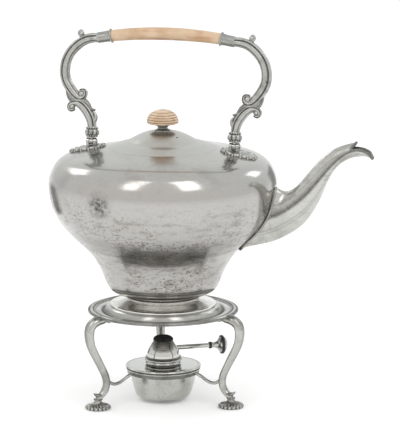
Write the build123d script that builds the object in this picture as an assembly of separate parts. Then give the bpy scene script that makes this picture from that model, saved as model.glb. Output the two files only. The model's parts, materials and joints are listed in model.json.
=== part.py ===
from build123d import *
import os
from math import atan2, cos, degrees, hypot, pi, radians, sin, sqrt

# Tea kettle with a swing handle, on a three-legged stand with a spirit burner.
# Millimetres. Heights are measured from the table, radii from the kettle's upright axis.
# The spout points to +X. The whole model is moved along X at the end, so that the row's
# origin lies on the table under the middle of the outline.

# Clearances
RUN = 0.06          # radial play of a shaft in its hole
REST = 0.1          # play between two faces that rest on each other and come apart
LOOSE = 0.4         # radial play of pieces that drop into each other

# Stand
RIM_R = 70.0            # outer radius of the stand's border
RIM_TOP = 89.3          # top of the border
RIM_H = 2.7             # height of the border
BORDER_W = 5.4          # width of the border
SHEET = 1.5             # sheet thickness of the stand's ring
SEAT_R = 53.4           # outer radius of the raised seat
SEAT_Z = 92.8           # top of the raised seat
OPENING_R = 42.5        # radius of the hole that the flame rises through
LIP_H = 1.2             # height of the lip that keeps the kettle in place
LEG_COUNT = 3
LEG_START = 105.5       # azimuth of the first leg, degrees
LEG_KNEE_R = 81.6       # how far the knee stands out
LEG_ANKLE_R = 63.2      # how far the leg draws in above the ankle
LEG_DEPTH = 9.4         # thickness of a leg at the knee, seen from the side
LEG_WIDTH = 11.0        # thickness of a leg at the knee, seen from the front
FOOT_Z = 10.0           # height where a leg meets its foot
FOOT_REACH = 72.6       # radius of the circle through the feet
FOOT_R = 11.9           # radius of a shell foot
FOOT_LOBES = 18

# Burner
RING_R = 35.6           # outer radius of the ring that holds the burner
RING_T = 3.2            # radial thickness of that ring
RING_Z = 26.6           # its underside
RING_H = 4.7            # its height
WIRE_R = 1.6            # radius of the wire arms
BOWL_R = 31.6           # radius of the bowl at its mouth
BOWL_FLOOR = 2.2        # height of the bowl over the table
BOWL_WALL = 1.0
BOWL_LIP_R = 34.9       # radius of the bowl's lip, which rests on the ring
PLATE_R = 36.3          # radius of the burner's top plate
PLATE_T = 1.5
NECK_R = 14.2           # radius of the burner's screwed neck
HEAD_GAP = 0.1          # play between the neck's shoulder and the head
COLLAR_R = 18.2         # widest radius of the collar mouldings
COLLAR_Z = 38.4         # height where the head parts from the burner
HEAD_Z = 42.4           # foot of the bell
BELL_R = 15.9           # radius of the bell at its foot
BELL_TOP = 58.0         # height of the bell's mouth
BELL_MOUTH_R = 8.7      # radius of the bell's mouth
BELL_WALL = 0.8
WICK_R = 4.7
WICK_CAP_R = 7.7        # radius of the spread top of the wick
WICK_TOP = 61.5
TUBE_WALL = 0.8
REG_AZ = 29.0           # azimuth that the regulator points to, degrees
REG_Z = 47.5            # height of the regulator's axis
ROD_R = 2.25
SPINDLE_R = 1.2
STAR_R = 3.0            # radius of the star wheel
STAR_T = 2.4
ROD_END = 47.7          # where the bare rod ends
WASHER_T = 2.2
WASHER_R = 3.3
KNOB_NECK_L = 9.1
KNOB_FLARE_R = 7.5
DISC_R = 9.1
DISC_T = 3.0
CAP_L = 4.6
TANG_R = 1.4

# Kettle
WALL = 1.2              # sheet thickness of the kettle
BODY_R = 108.0          # greatest radius of the body
BODY_BASE_Z = 105.0     # underside of the body
BASE_R = 36.0           # radius of the bottom plate
MOUTH_R = 46.0          # radius of the filling hole
MOUTH_Z = 245.1         # height of the body at the filling hole
FOOT_EDGE_R = 50.2      # radius of the kettle's foot
FOOT_STEM_R = 33.8      # narrowest radius of the foot
SPOUT_TIP_X = 199.8     # how far the spout's lip reaches
SPOUT_WALL = 1.1
SPOUT_CREASE = 0.1      # depth of the crease along each side, as a share of the half-width
STRAINER_R = 2.4        # radius of a strainer hole
STRAINER_PITCH = 7.0
STRAINER_ROWS = 5
STRAINER_Z = 168.0      # height of the lowest hole

# Lid
LID_R = 52.0
LID_T = 1.2
DOME_R = 35.5           # radius of the dome's foot
DOME_TOP = 260.4
BEZEL_H = 6.0
BEZEL_T = 1.1
VENT_R = 1.1
VENT_AT = 22.0          # radius where the vent hole lies
VENT_AZ = -39.0
KNOB_R = 15.0
KNOB_Z = 266.2          # underside of the knob
KNOB_H = 14.0
KNOB_RIBS = 6
STUD_R = 1.8

# Handle
HINGE_X = 69.2          # distance of each hinge from the axis
HINGE_Z = 247.0
LEAN = 8.5              # how far the handle leans back at rest, degrees
PIN_R = 1.3
EAR_T = 2.5
TONGUE_T = 4.0
EAR_GAP = 0.2           # side play of the tongue between the ears
EAR_R = 3.5
PLATE_L = 34.0          # radial length of the hinge's base plate
PLATE_W = 23.0
PLATE_H = 2.2
SOCKET_R = 6.5
SOCKET_Z = 250.9        # underside of the socket
SOCKET_TOP = 261.2
ARM_R = 4.9             # half-thickness of the arm
ARM_REACH = 97.4        # how far the arm's middle bows out
GRIP_TOP = 350.6        # height of the grip's middle line
GRIP_L = 104.8
GRIP_SAG = 3.3
GRIP_R = 6.0
GRIP_END_R = 5.4
FERRULE_L = 14.4
TENON_R = 3.6
TENON_L = 8.0
RIVET_R = 0.8

# Azimuth of the seam in the spun sheets, away from what is joined to them
SEAM = 90

# The row's origin is half-way between the back of the body and the lip of the spout.
ORIGIN_X = (SPOUT_TIP_X - BODY_R) / 2


def at(r, z):
    """A point of the X-Z plane."""
    return (r, 0, z)


def curve(points):
    """A smooth line through points of the X-Z plane."""
    return Spline(*[at(r, z) for r, z in points])


def arcs(points):
    """Arcs through each three neighbouring points of the X-Z plane, and a line over what is left."""
    edges = [ThreePointArc(*[at(*p) for p in points[i:i + 3]]) for i in range(0, len(points) - 2, 2)]
    if len(points) % 2 == 0:
        edges.append(Line(at(*points[-2]), at(*points[-1])))
    return edges


def turned(points):
    """A solid of revolution with a straight-sided outline."""
    return revolve(make_face(Polyline(*[at(r, z) for r, z in points], close=True)), Axis.Z)


def inset(points, wall):
    """The same row of points moved to its left by a wall thickness."""
    moved = []
    for i, (r, z) in enumerate(points):
        before = points[max(i - 1, 0)]
        after = points[min(i + 1, len(points) - 1)]
        run, rise = after[0] - before[0], after[1] - before[1]
        length = hypot(run, rise)
        moved.append((r - wall * rise / length, z + wall * run / length))
    return moved


def square_end(outer, following, inner):
    """The inner end of a sheet, so that its edge is upright or level, whichever is nearer to square."""
    if abs(following[0] - outer[0]) > abs(following[1] - outer[1]):
        return (outer[0], inner[1])
    return (inner[0], outer[1])


def turned_shell(points, wall):
    """A thin shell of revolution whose outer side runs through the points, going up."""
    inner = inset(points, wall)
    inner[0] = square_end(points[0], points[1], inner[0])
    inner[-1] = square_end(points[-1], points[-2], inner[-1])
    face = make_face(Wire([
        *arcs(points),
        Line(at(*points[-1]), at(*inner[-1])),
        *arcs(inner),
        Line(at(*inner[0]), at(*points[0])),
    ]))
    return Rot(0, 0, SEAM) * revolve(face, Axis.Z)


def tapered(sizes, share):
    """The size at a share of a path's length, from sizes that are spread evenly along it."""
    place = share * (len(sizes) - 1)
    i = min(int(place), len(sizes) - 2)
    return sizes[i] + (sizes[i + 1] - sizes[i]) * (place - i)


def bar(points, depths, widths, sections=9):
    """A bent bar in the X-Z plane: oval sections along a smooth line.
    depths are the half-thicknesses in the plane, widths those across it."""
    path = curve(points)
    rings = []
    for i in range(sections):
        share = i / (sections - 1)
        plane = Plane(origin=path @ share, x_dir=(0, 1, 0), z_dir=path % share)
        rings.append(plane * Ellipse(tapered(widths, share), tapered(depths, share)))
    return loft(rings)


def ball(x, z, r, width=None):
    """A ball in the X-Z plane, cut flat on both sides to a width where one is given."""
    solid = Pos(x, 0, z) * Sphere(r)
    if width:
        solid = solid & Pos(x, 0, z) * Box(3 * r, width, 3 * r)
    return solid


def mirrored(part):
    """The same piece on the other side of the kettle."""
    return mirror(part, about=Plane.YZ)


pieces = {}


# Stand ring: a flat tray, a groove, a raised seat for the kettle and a short lip round the opening
RIM_UNDER = RIM_TOP - RIM_H
FLAT_Z = RIM_UNDER + SHEET
GROOVE_R = SEAT_R + 5.2
LIP_R = OPENING_R + SHEET
PLATE_EDGE = RIM_R - 4.0
BORDER_IN = RIM_R - BORDER_W

pieces["stand_ring"] = turned([
    (PLATE_EDGE, RIM_UNDER), (PLATE_EDGE, FLAT_Z), (GROOVE_R, FLAT_Z), (GROOVE_R - 1.6, FLAT_Z - 0.9),
    (GROOVE_R - 3.2, FLAT_Z + 0.4), (SEAT_R + 0.5, SEAT_Z - 1.2), (SEAT_R - 0.9, SEAT_Z), (LIP_R, SEAT_Z),
    (LIP_R, SEAT_Z + LIP_H), (OPENING_R, SEAT_Z + LIP_H), (OPENING_R, SEAT_Z - SHEET),
    (SEAT_R - 2.0, SEAT_Z - SHEET), (GROOVE_R - 4.4, RIM_UNDER - 0.9), (GROOVE_R + 0.6, RIM_UNDER - 0.9),
    (GROOVE_R + 1.5, RIM_UNDER),
])

pieces["rim_border"] = turned([
    (PLATE_EDGE, RIM_UNDER), (RIM_R - 1.0, RIM_UNDER), (RIM_R, RIM_UNDER + 1.2), (RIM_R - 0.2, RIM_TOP - 0.9),
    (RIM_R - 1.5, RIM_TOP), (RIM_R - 3.4, RIM_TOP - 0.2), (BORDER_IN, FLAT_Z + 0.8), (BORDER_IN, FLAT_Z),
    (PLATE_EDGE, FLAT_Z),
])

# Legs: a small scroll under the rim, a bowed knee, and a leaf spur over the ankle
KNEE_Z = 73.0
leg_line = [
    (LEG_KNEE_R - 21.0, RIM_UNDER - 3.6), (LEG_KNEE_R - 15.0, RIM_UNDER - 1.6),
    (LEG_KNEE_R - 7.6, RIM_UNDER - 2.2), (LEG_KNEE_R - 1.6, KNEE_Z + 7.0), (LEG_KNEE_R, KNEE_Z),
    (LEG_KNEE_R - 1.4, 63.0), (LEG_KNEE_R - 7.6, 49.6), (LEG_ANKLE_R + 3.4, 35.6),
    (LEG_ANKLE_R, 24.6), (LEG_ANKLE_R + 2.3, 16.2), (FOOT_REACH - 1.6, FOOT_Z - 0.4),
]
thick, wide = LEG_DEPTH / 2, LEG_WIDTH / 2
leg = bar(
    leg_line,
    [0.62 * thick, 0.8 * thick, thick, 0.98 * thick, 0.86 * thick, 0.8 * thick, 0.74 * thick,
     0.72 * thick, 0.72 * thick, 0.66 * thick],
    [0.6 * wide, 0.8 * wide, wide, wide, 0.9 * wide, 0.84 * wide, 0.78 * wide,
     0.74 * wide, 0.72 * wide, 0.62 * wide],
    sections=15)
spur = bar(
    [(FOOT_REACH - 4.6, FOOT_Z + 3.4), (FOOT_REACH - 0.4, FOOT_Z + 3.2), (FOOT_REACH + 3.8, FOOT_Z + 5.0)],
    [2.6, 2.0, 0.5], [3.4, 2.6, 0.6], sections=4)
ABOVE_FOOT = Pos(FOOT_REACH, 0, (FOOT_Z + RIM_UNDER) / 2) * Box(80, 40, RIM_UNDER - FOOT_Z)
leg = (leg + spur) & ABOVE_FOOT

# Feet: a domed shell with a lobed edge, and a stem that meets the leg
STEM_R = 3.3
dome = Pos(FOOT_REACH, 0, 0) * turned([
    (0, 0), (FOOT_R - 1.5, 0), (FOOT_R - 1.3, 2.0), (FOOT_R - 4.0, 4.0), (STEM_R + 1.0, 5.6),
    (STEM_R - 0.2, 7.2), (STEM_R, FOOT_Z), (0, FOOT_Z),
])
LOBE_R = 1.9
for i in range(FOOT_LOBES):
    dome += Pos(FOOT_REACH, 0, 0) * Rot(0, 0, i * 360 / FOOT_LOBES) * Pos(FOOT_R - LOBE_R, 0, 1.5) * Sphere(LOBE_R)
foot = dome & Pos(FOOT_REACH, 0, FOOT_Z / 2) * Box(3 * FOOT_R, 3 * FOOT_R, FOOT_Z)

# Ring and wire arms that hold the burner
ring_inner = RING_R - RING_T
RING_TOP = RING_Z + RING_H
burner_ring = turned([
    (ring_inner, RING_Z), (RING_R - 1.2, RING_Z), (RING_R - 1.2, RING_TOP - 1.6), (RING_R, RING_TOP - 0.8),
    (RING_R, RING_TOP), (ring_inner, RING_TOP),
])
pieces["burner_ring"] = burner_ring
wire = bar(
    [(LEG_ANKLE_R - 1.2, 26.2), (LEG_ANKLE_R - 4.4, 23.4), (LEG_ANKLE_R - 8.2, 21.6),
     (LEG_ANKLE_R - 12.4, 21.7), (LEG_ANKLE_R - 17.4, 23.6), (RING_R + 4.6, RING_Z + 0.3),
     (RING_R - 2.2, RING_Z + 2.6)],
    [WIRE_R, WIRE_R], [WIRE_R, WIRE_R], sections=9)
ring_filled = turned([(0, RING_Z - 20), (RING_R - 1.2, RING_Z - 20), (RING_R - 1.2, RING_TOP), (0, RING_TOP)])
wire = wire - leg - ring_filled - burner_ring

for i in range(LEG_COUNT):
    place = Rot(0, 0, LEG_START + i * 360 / LEG_COUNT)
    pieces[f"leg_{i + 1}"] = place * leg
    pieces[f"foot_{i + 1}"] = place * foot
    pieces[f"ring_arm_{i + 1}"] = place * wire

# Burner bowl and its top plate
LIP_Z = RING_TOP + REST
PLATE_Z = LIP_Z + 1.2
bowl_outer = [
    (BOWL_R - 13.4, BOWL_FLOOR), (BOWL_R - 9.0, BOWL_FLOOR + 0.8), (BOWL_R - 5.6, BOWL_FLOOR + 3.6),
    (BOWL_R - 3.9, BOWL_FLOOR + 8.5), (BOWL_R - 2.6, BOWL_FLOOR + 13.0), (BOWL_R - 1.2, BOWL_FLOOR + 19.0),
    (BOWL_R - 0.3, BOWL_FLOOR + 25.0), (BOWL_R, LIP_Z),
]
bowl_inner = inset(bowl_outer, BOWL_WALL)
bowl_face = make_face(Wire([
    Line(at(0, BOWL_FLOOR), at(*bowl_outer[0])),
    curve(bowl_outer),
    Line(at(BOWL_R, LIP_Z), at(BOWL_LIP_R, LIP_Z)),
    Line(at(BOWL_LIP_R, LIP_Z), at(BOWL_LIP_R, PLATE_Z)),
    Line(at(BOWL_LIP_R, PLATE_Z), at(BOWL_R - BOWL_WALL, PLATE_Z)),
    Line(at(BOWL_R - BOWL_WALL, PLATE_Z), at(*bowl_inner[-1])),
    curve(bowl_inner[::-1]),
    Line(at(*bowl_inner[0]), at(0, BOWL_FLOOR + BOWL_WALL)),
    Line(at(0, BOWL_FLOOR + BOWL_WALL), at(0, BOWL_FLOOR)),
]))
pieces["burner_bowl"] = revolve(bowl_face, Axis.Z)

NECK_IN = NECK_R - 1.4
PLATE_TOP = PLATE_Z + PLATE_T
pieces["burner_top_plate"] = turned([
    (NECK_IN, PLATE_Z), (PLATE_R - 0.5, PLATE_Z), (PLATE_R, PLATE_Z + 0.5), (PLATE_R - 0.4, PLATE_TOP - 0.4),
    (COLLAR_R, PLATE_TOP + 0.4), (NECK_IN, PLATE_TOP + 0.4),
])

# Collar with the screwed neck, and the matching collar of the head
COLLAR_FOOT = PLATE_TOP + 0.4
NECK_TOP = HEAD_Z - 0.3
pieces["burner_collar"] = turned([
    (NECK_IN, COLLAR_FOOT), (COLLAR_R - 2.2, COLLAR_FOOT), (COLLAR_R - 2.4, COLLAR_FOOT + 0.9),
    (COLLAR_R - 1.2, COLLAR_FOOT + 1.3), (COLLAR_R - 0.8, COLLAR_Z - 1.0), (COLLAR_R - 1.5, COLLAR_Z - HEAD_GAP),
    (NECK_R, COLLAR_Z - HEAD_GAP), (NECK_R, NECK_TOP), (NECK_IN, NECK_TOP),
])
WEB_T = 1.0
HEAD_BORE = NECK_R + RUN
BELL_IN = BELL_R - BELL_WALL
TUBE_R = WICK_R + 0.3 + TUBE_WALL
pieces["head_collar"] = turned([
    (HEAD_BORE, COLLAR_Z), (COLLAR_R - 0.9, COLLAR_Z), (COLLAR_R, COLLAR_Z + 1.0), (COLLAR_R, COLLAR_Z + 1.8),
    (COLLAR_R - 1.0, COLLAR_Z + 2.6), (COLLAR_R - 1.4, HEAD_Z), (BELL_IN - 0.2, HEAD_Z), (BELL_IN - 0.2, HEAD_Z + WEB_T),
    (TUBE_R, HEAD_Z + WEB_T), (TUBE_R, HEAD_Z), (HEAD_BORE, HEAD_Z),
])

# Wick and its tube. The star wheel bites the wick through a window in the tube.
REG_OFF = WICK_R + 0.3 + STAR_R     # distance of the regulator's axis from the wick's
reg_frame = Rot(0, 0, REG_AZ) * Pos(0, REG_OFF, REG_Z) * Rot(0, 90, 0)
tube = turned([(TUBE_R - TUBE_WALL, 30), (TUBE_R, 30), (TUBE_R, REG_Z + 3.8), (TUBE_R - TUBE_WALL, REG_Z + 3.8)])
window = Rot(0, 0, REG_AZ) * Pos(0, TUBE_R, REG_Z + 0.4) * Box(STAR_T + 1.6, 2 * TUBE_R - 6.0, 2 * STAR_R + 3.2)
pieces["wick_tube"] = tube - window
WICK_SPREAD = 55.6
wick_face = make_face(Wire([
    Line(at(0, 8), at(WICK_R, 8)),
    Line(at(WICK_R, 8), at(WICK_R, WICK_SPREAD)),
    Line(at(WICK_R, WICK_SPREAD), at(WICK_CAP_R, BELL_TOP - 0.2)),
    curve([(WICK_CAP_R, BELL_TOP - 0.2), (WICK_CAP_R - 0.5, BELL_TOP + 1.2), (WICK_CAP_R - 3.0, WICK_TOP - 0.7),
           (0, WICK_TOP)]),
    Line(at(0, WICK_TOP), at(0, 8)),
]))
pieces["wick"] = revolve(wick_face, Axis.Z)

# Bell of the head, with a bushed hole for the regulator
BUSH_R = ROD_R + 1.0
bell_outer = [
    (BELL_R, HEAD_Z), (BELL_R - 0.3, HEAD_Z + 3.2), (BELL_R - 1.3, HEAD_Z + 6.2), (BELL_R - 3.2, HEAD_Z + 9.4),
    (BELL_R - 5.3, HEAD_Z + 12.5), (BELL_MOUTH_R, BELL_TOP),
]
bell = turned_shell(bell_outer, BELL_WALL)
BUSH_IN, BUSH_OUT = 10.2, 13.6
bell -= reg_frame * Pos(0, 0, BUSH_OUT) * Cylinder(BUSH_R, 12)
pieces["burner_cone"] = bell
bush = Pos(0, 0, (BUSH_IN + BUSH_OUT) / 2) * (
    Cylinder(BUSH_R, BUSH_OUT - BUSH_IN) - Cylinder(ROD_R + RUN, BUSH_OUT - BUSH_IN))
pieces["spindle_bush"] = reg_frame * bush

# Regulator: rod, star wheel, heat-proof washer and a three-part knob, all on one axis
SPINDLE_END = -2.6
rod = turned([
    (0, SPINDLE_END), (SPINDLE_R, SPINDLE_END), (SPINDLE_R, BUSH_IN - 1.0), (ROD_R, BUSH_IN - 1.0),
    (ROD_R, ROD_END), (TANG_R, ROD_END), (TANG_R, ROD_END + WASHER_T + KNOB_NECK_L + DISC_T + 2.0),
    (0, ROD_END + WASHER_T + KNOB_NECK_L + DISC_T + 2.0),
])
pieces["regulator_rod"] = reg_frame * rod
star = Cylinder(STAR_R - 0.9, STAR_T)
for i in range(8):
    star += Rot(0, 0, i * 45) * Pos(STAR_R - 0.9, 0, 0) * Box(1.7, 0.9, STAR_T)
pieces["star_wheel"] = reg_frame * (star - Cylinder(SPINDLE_R, STAR_T))
NECK_START = ROD_END + WASHER_T
DISC_START = NECK_START + KNOB_NECK_L
CAP_START = DISC_START + DISC_T
pieces["insulating_washer"] = reg_frame * turned([
    (TANG_R, ROD_END), (WASHER_R, ROD_END), (WASHER_R, NECK_START), (TANG_R, NECK_START)])
neck_line = [
    (2.7, NECK_START), (2.6, NECK_START + 2.4), (3.2, NECK_START + 4.4), (4.6, NECK_START + 6.4),
    (6.6, NECK_START + 7.9), (KNOB_FLARE_R, DISC_START),
]
knob_neck = make_face(Wire([
    Line(at(TANG_R, NECK_START), at(*neck_line[0])), curve(neck_line),
    Line(at(*neck_line[-1]), at(TANG_R, DISC_START)), Line(at(TANG_R, DISC_START), at(TANG_R, NECK_START))]))
pieces["knob_neck"] = reg_frame * revolve(knob_neck, Axis.Z)
pieces["knob_disc"] = reg_frame * turned([
    (TANG_R, DISC_START), (DISC_R - 0.5, DISC_START), (DISC_R, DISC_START + 0.6), (DISC_R, CAP_START - 0.6),
    (DISC_R - 0.5, CAP_START), (TANG_R, CAP_START)])
cap_line = [(KNOB_FLARE_R, CAP_START), (KNOB_FLARE_R - 0.8, CAP_START + 1.7), (4.4, CAP_START + 3.2),
            (0, CAP_START + CAP_L)]
knob_cap = make_face(Wire([
    Line(at(TANG_R, CAP_START), at(*cap_line[0])), curve(cap_line),
    Line(at(0, CAP_START + CAP_L), at(0, CAP_START + 2.0)),
    Line(at(0, CAP_START + 2.0), at(TANG_R, CAP_START + 2.0)),
    Line(at(TANG_R, CAP_START + 2.0), at(TANG_R, CAP_START))]))
pieces["knob_cap"] = reg_frame * revolve(knob_cap, Axis.Z)

# Kettle body: one spun shell from the bottom plate round the bowl and in to the filling hole
body_line = [
    (BASE_R, BODY_BASE_Z), (BASE_R + 8.6, BODY_BASE_Z + 0.6), (BASE_R + 13.0, BODY_BASE_Z + 3.0),
    (BASE_R + 16.3, BODY_BASE_Z + 6.8), (BASE_R + 19.4, BODY_BASE_Z + 14.0), (58.7, 127.0), (62.6, 134.8),
    (67.4, 142.2), (74.2, 149.8), (82.5, 157.8), (90.2, 165.6), (96.6, 173.2), (101.3, 180.8),
    (BODY_R - 3.3, 188.5), (BODY_R - 1.2, 197.5), (BODY_R, 208.5), (BODY_R - 0.8, 215.8), (BODY_R - 3.1, 222.4),
    (BODY_R - 7.4, 229.2), (95.4, 233.4), (89.0, 236.2), (81.5, 238.2), (73.5, 239.8), (60.0, 242.3),
    (MOUTH_R + 6.0, MOUTH_Z - 1.2), (MOUTH_R, MOUTH_Z),
]
body = turned_shell(body_line, WALL)
body_solid = Rot(0, 0, SEAM) * revolve(make_face(Wire([
    Line(at(0, BODY_BASE_Z), at(*body_line[0])), *arcs(body_line),
    Line(at(*body_line[-1]), at(0, MOUTH_Z)), Line(at(0, MOUTH_Z), at(0, BODY_BASE_Z))])), Axis.Z)

# Spout: oval sections between an upper and a lower outline, all in the X-Z plane
spout_rows = [
    ((100.0, 209.6), (58.0, 143.0), 9.6), ((111.0, 209.0), (84.5, 152.4), 10.2),
    ((117.8, 206.6), (104.8, 157.8), 10.6), ((124.0, 208.6), (122.0, 166.0), 10.6),
    ((129.6, 213.0), (137.4, 178.2), 10.3), ((134.2, 218.4), (146.8, 191.8), 9.9),
    ((138.7, 223.8), (152.5, 203.0), 9.4), ((143.5, 229.7), (156.8, 213.6), 8.9),
    ((150.5, 237.6), (161.5, 223.2), 8.3), ((158.5, 244.9), (167.5, 232.0), 7.8),
    ((167.5, 250.3), (174.5, 237.6), 7.4), ((177.0, 253.7), (181.5, 240.9), 7.1),
    ((186.4, 255.8), (188.8, 242.3), 6.9), ((197.0, 255.0), (SPOUT_TIP_X - 5.6, 242.4), 6.4),
    ((206.0, 249.0), (SPOUT_TIP_X, 240.4), 4.6),
]


def spout_section(half, height, grow):
    """An oval with a shallow crease half-way up each side, in an upper and a lower half."""
    points = []
    for i in range(17):
        angle = i * pi / 8
        crease = 1 - SPOUT_CREASE * cos(angle) ** 8
        points.append(((half + grow) * cos(angle) * crease, (height + grow) * sin(angle)))
    points[16] = points[0]
    return make_face(Wire([Spline(*points[:9]), Spline(*points[8:])]))


def spout_loft(grow, drop=0):
    """The spout's outer shape, with every section made larger by the given amount.
    drop lowers the lower outline where it meets the body."""
    rings = []
    for i, ((ux, uz), (lx, lz), half) in enumerate(spout_rows):
        lz = lz - drop if i < 2 else lz
        rise = Vector(ux - lx, 0, uz - lz)
        plane = Plane(origin=((ux + lx) / 2, 0, (uz + lz) / 2), x_dir=(0, 1, 0), z_dir=Vector(0, 1, 0).cross(rise))
        rings.append(plane * spout_section(half, rise.length / 2, grow))
    return loft(rings)


spout_outer = spout_loft(0)
BEAK_X = 180.0
beak_cut = extrude(make_face(Polyline(
    at(BEAK_X, 249.2), at(187.2, 258.0), at(215.0, 262.0), at(215.0, 238.0), at(SPOUT_TIP_X, 241.2),
    at(197.0, 246.0), at(192.0, 248.6), at(186.0, 249.6), close=True)), 30, both=True)
pieces["spout"] = spout_outer - body_solid - beak_cut - spout_loft(-SPOUT_WALL)

# A thin raised moulding covers the joint between the spout and the body.
MOULDING_T = 0.9
MOULDING_DROP = 3.4     # how far the moulding's lower tip hangs below the spout
band = turned_shell(inset(body_line, -MOULDING_T), MOULDING_T)
pieces["spout_moulding"] = (spout_loft(1.5, MOULDING_DROP) & band) - body_solid - spout_outer

# Strainer holes let the water into the spout.
holes = []
for i in range(STRAINER_ROWS):
    for y in (-STRAINER_PITCH / 1.6, STRAINER_PITCH / 1.6) if i % 2 else (0.0,):
        hole = Pos(BODY_R - 13, y, STRAINER_Z + STRAINER_PITCH * i) * Rot(0, 90, 0) * Cylinder(STRAINER_R, 60)
        holes.append(hole)
body = body - holes
pieces["kettle_body"] = body

# Bottom plate and foot of the kettle
pieces["kettle_bottom"] = turned([
    (0, BODY_BASE_Z + 1.0), (BASE_R - 5.0, BODY_BASE_Z), (BASE_R, BODY_BASE_Z), (BASE_R, BODY_BASE_Z + WALL),
    (BASE_R - 5.0, BODY_BASE_Z + WALL), (0, BODY_BASE_Z + 1.0 + WALL),
])
FOOT_UNDER = SEAT_Z + REST
foot_line = [
    (FOOT_EDGE_R - 1.8, SEAT_Z + 2.0), (FOOT_EDGE_R - 7.0, SEAT_Z + 2.9), (FOOT_STEM_R + 4.2, SEAT_Z + 4.2),
    (FOOT_STEM_R + 0.8, SEAT_Z + 6.2), (FOOT_STEM_R, SEAT_Z + 8.6), (FOOT_STEM_R + 0.7, SEAT_Z + 10.0),
    (FOOT_STEM_R, BODY_BASE_Z),
]
foot_inner = inset(foot_line, WALL)
kettle_foot = make_face(Wire([
    Line(at(FOOT_EDGE_R - 3.2, FOOT_UNDER), at(FOOT_EDGE_R, FOOT_UNDER)),
    Line(at(FOOT_EDGE_R, FOOT_UNDER), at(FOOT_EDGE_R, FOOT_UNDER + 1.3)),
    Line(at(FOOT_EDGE_R, FOOT_UNDER + 1.3), at(*foot_line[0])),
    curve(foot_line),
    Line(at(*foot_line[-1]), at(foot_inner[-1][0], BODY_BASE_Z)),
    curve([(foot_inner[-1][0], BODY_BASE_Z)] + foot_inner[-2::-1]),
    Line(at(*foot_inner[0]), at(FOOT_EDGE_R - 3.2, FOOT_UNDER)),
]))
pieces["kettle_foot"] = revolve(kettle_foot, Axis.Z)

# Lid: a rim that follows the body's slope, an ogee and a dome, with a bezel that drops into the hole
slope = (MOUTH_Z - 242.3) / (60.0 - MOUTH_R)
rim_under = MOUTH_Z - slope * (LID_R - MOUTH_R) + 0.25
lid_line = [
    (LID_R, rim_under + LID_T), (LID_R - 6.0, MOUTH_Z + 0.25 + LID_T), (DOME_R + 4.0, MOUTH_Z + 3.1),
    (DOME_R - 1.5, MOUTH_Z + 4.6), (DOME_R - 5.5, MOUTH_Z + 6.8), (DOME_R - 11.0, MOUTH_Z + 9.8),
    (DOME_R - 16.5, MOUTH_Z + 12.3), (DOME_R - 23.5, DOME_TOP - 1.0), (0, DOME_TOP),
]
lid_under = inset(lid_line, LID_T)
lid_face = make_face(Wire([
    Line(at(LID_R, rim_under), at(*lid_line[0])),
    curve(lid_line),
    Line(at(0, DOME_TOP), at(0, DOME_TOP - LID_T)),
    curve([(0, DOME_TOP - LID_T)] + lid_under[-2:0:-1]),
    Line(at(*lid_under[1]), at(LID_R, rim_under)),
]))
STUD_TOP = KNOB_Z + 9.0
STUD_FOOT = DOME_TOP - LID_T - 3.4
stud = Pos(0, 0, (STUD_TOP + STUD_FOOT) / 2) * Cylinder(STUD_R, STUD_TOP - STUD_FOOT)
vent = Rot(0, 0, VENT_AZ) * Pos(VENT_AT, 0, DOME_TOP) * Cylinder(VENT_R, 30)
pieces["lid_cover"] = revolve(lid_face, Axis.Z) - stud - vent
BEZEL_R = MOUTH_R - LOOSE
bezel = turned([
    (BEZEL_R - BEZEL_T, MOUTH_Z - BEZEL_H), (BEZEL_R, MOUTH_Z - BEZEL_H), (BEZEL_R, MOUTH_Z + 4.0),
    (BEZEL_R - BEZEL_T, MOUTH_Z + 4.0)])
over_lid = revolve(make_face(Wire([
    Line(at(LID_R, rim_under), at(*lid_under[1])),
    curve(lid_under[1:-1] + [(0, DOME_TOP - LID_T)]),
    Line(at(0, DOME_TOP - LID_T), at(0, KNOB_Z)),
    Line(at(0, KNOB_Z), at(LID_R, KNOB_Z)),
    Line(at(LID_R, KNOB_Z), at(LID_R, rim_under)),
])), Axis.Z)
pieces["lid_bezel"] = bezel - over_lid
pieces["lid_stud"] = stud
NUT_H = 2.2
nut_blank = Pos(0, 0, DOME_TOP - LID_T - NUT_H) * extrude(RegularPolygon(3.6, 6), NUT_H)
pieces["lid_nut"] = nut_blank - over_lid - stud

# Lid knob: a turned beehive on a small moulded collar
knob_collar = turned([
    (0, DOME_TOP - 4.0), (8.4, DOME_TOP - 4.0), (8.4, DOME_TOP - 0.6), (7.2, DOME_TOP + 0.2), (5.2, DOME_TOP + 0.9),
    (4.6, DOME_TOP + 1.6), (6.0, KNOB_Z - 0.9), (6.6, KNOB_Z), (0, KNOB_Z),
])
lid_solid = revolve(make_face(Wire([
    curve(lid_line), Line(at(0, DOME_TOP), at(0, DOME_TOP - 30)),
    Line(at(0, DOME_TOP - 30), at(LID_R, DOME_TOP - 30)), Line(at(LID_R, DOME_TOP - 30), at(*lid_line[0]))])), Axis.Z)
pieces["knob_collar"] = knob_collar - lid_solid - stud
RIB_H = KNOB_H / KNOB_RIBS
knob_line = [at(0, KNOB_Z), at(KNOB_R - 2.6, KNOB_Z)]
knob_edges = [Line(*knob_line)]
for i in range(KNOB_RIBS):
    low, high = i * RIB_H, (i + 1) * RIB_H
    rise = [max(h - 0.16 * KNOB_H, 0) / (0.84 * KNOB_H) for h in (low, high)]
    start, end = [max((KNOB_R - 0.9) * sqrt(1 - share ** 2.2), 1.6) for share in rise]
    if i == 0:
        start = KNOB_R - 2.6
    if i == KNOB_RIBS - 1:
        end = 2.4
    middle = at((start + end) / 2 + 0.9, KNOB_Z + (low + high) / 2 + 0.25)
    knob_edges.append(ThreePointArc(at(start, KNOB_Z + low), middle, at(end, KNOB_Z + high)))
knob_edges.append(Line(at(2.4, KNOB_Z + KNOB_H), at(0, KNOB_Z + KNOB_H)))
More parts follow.
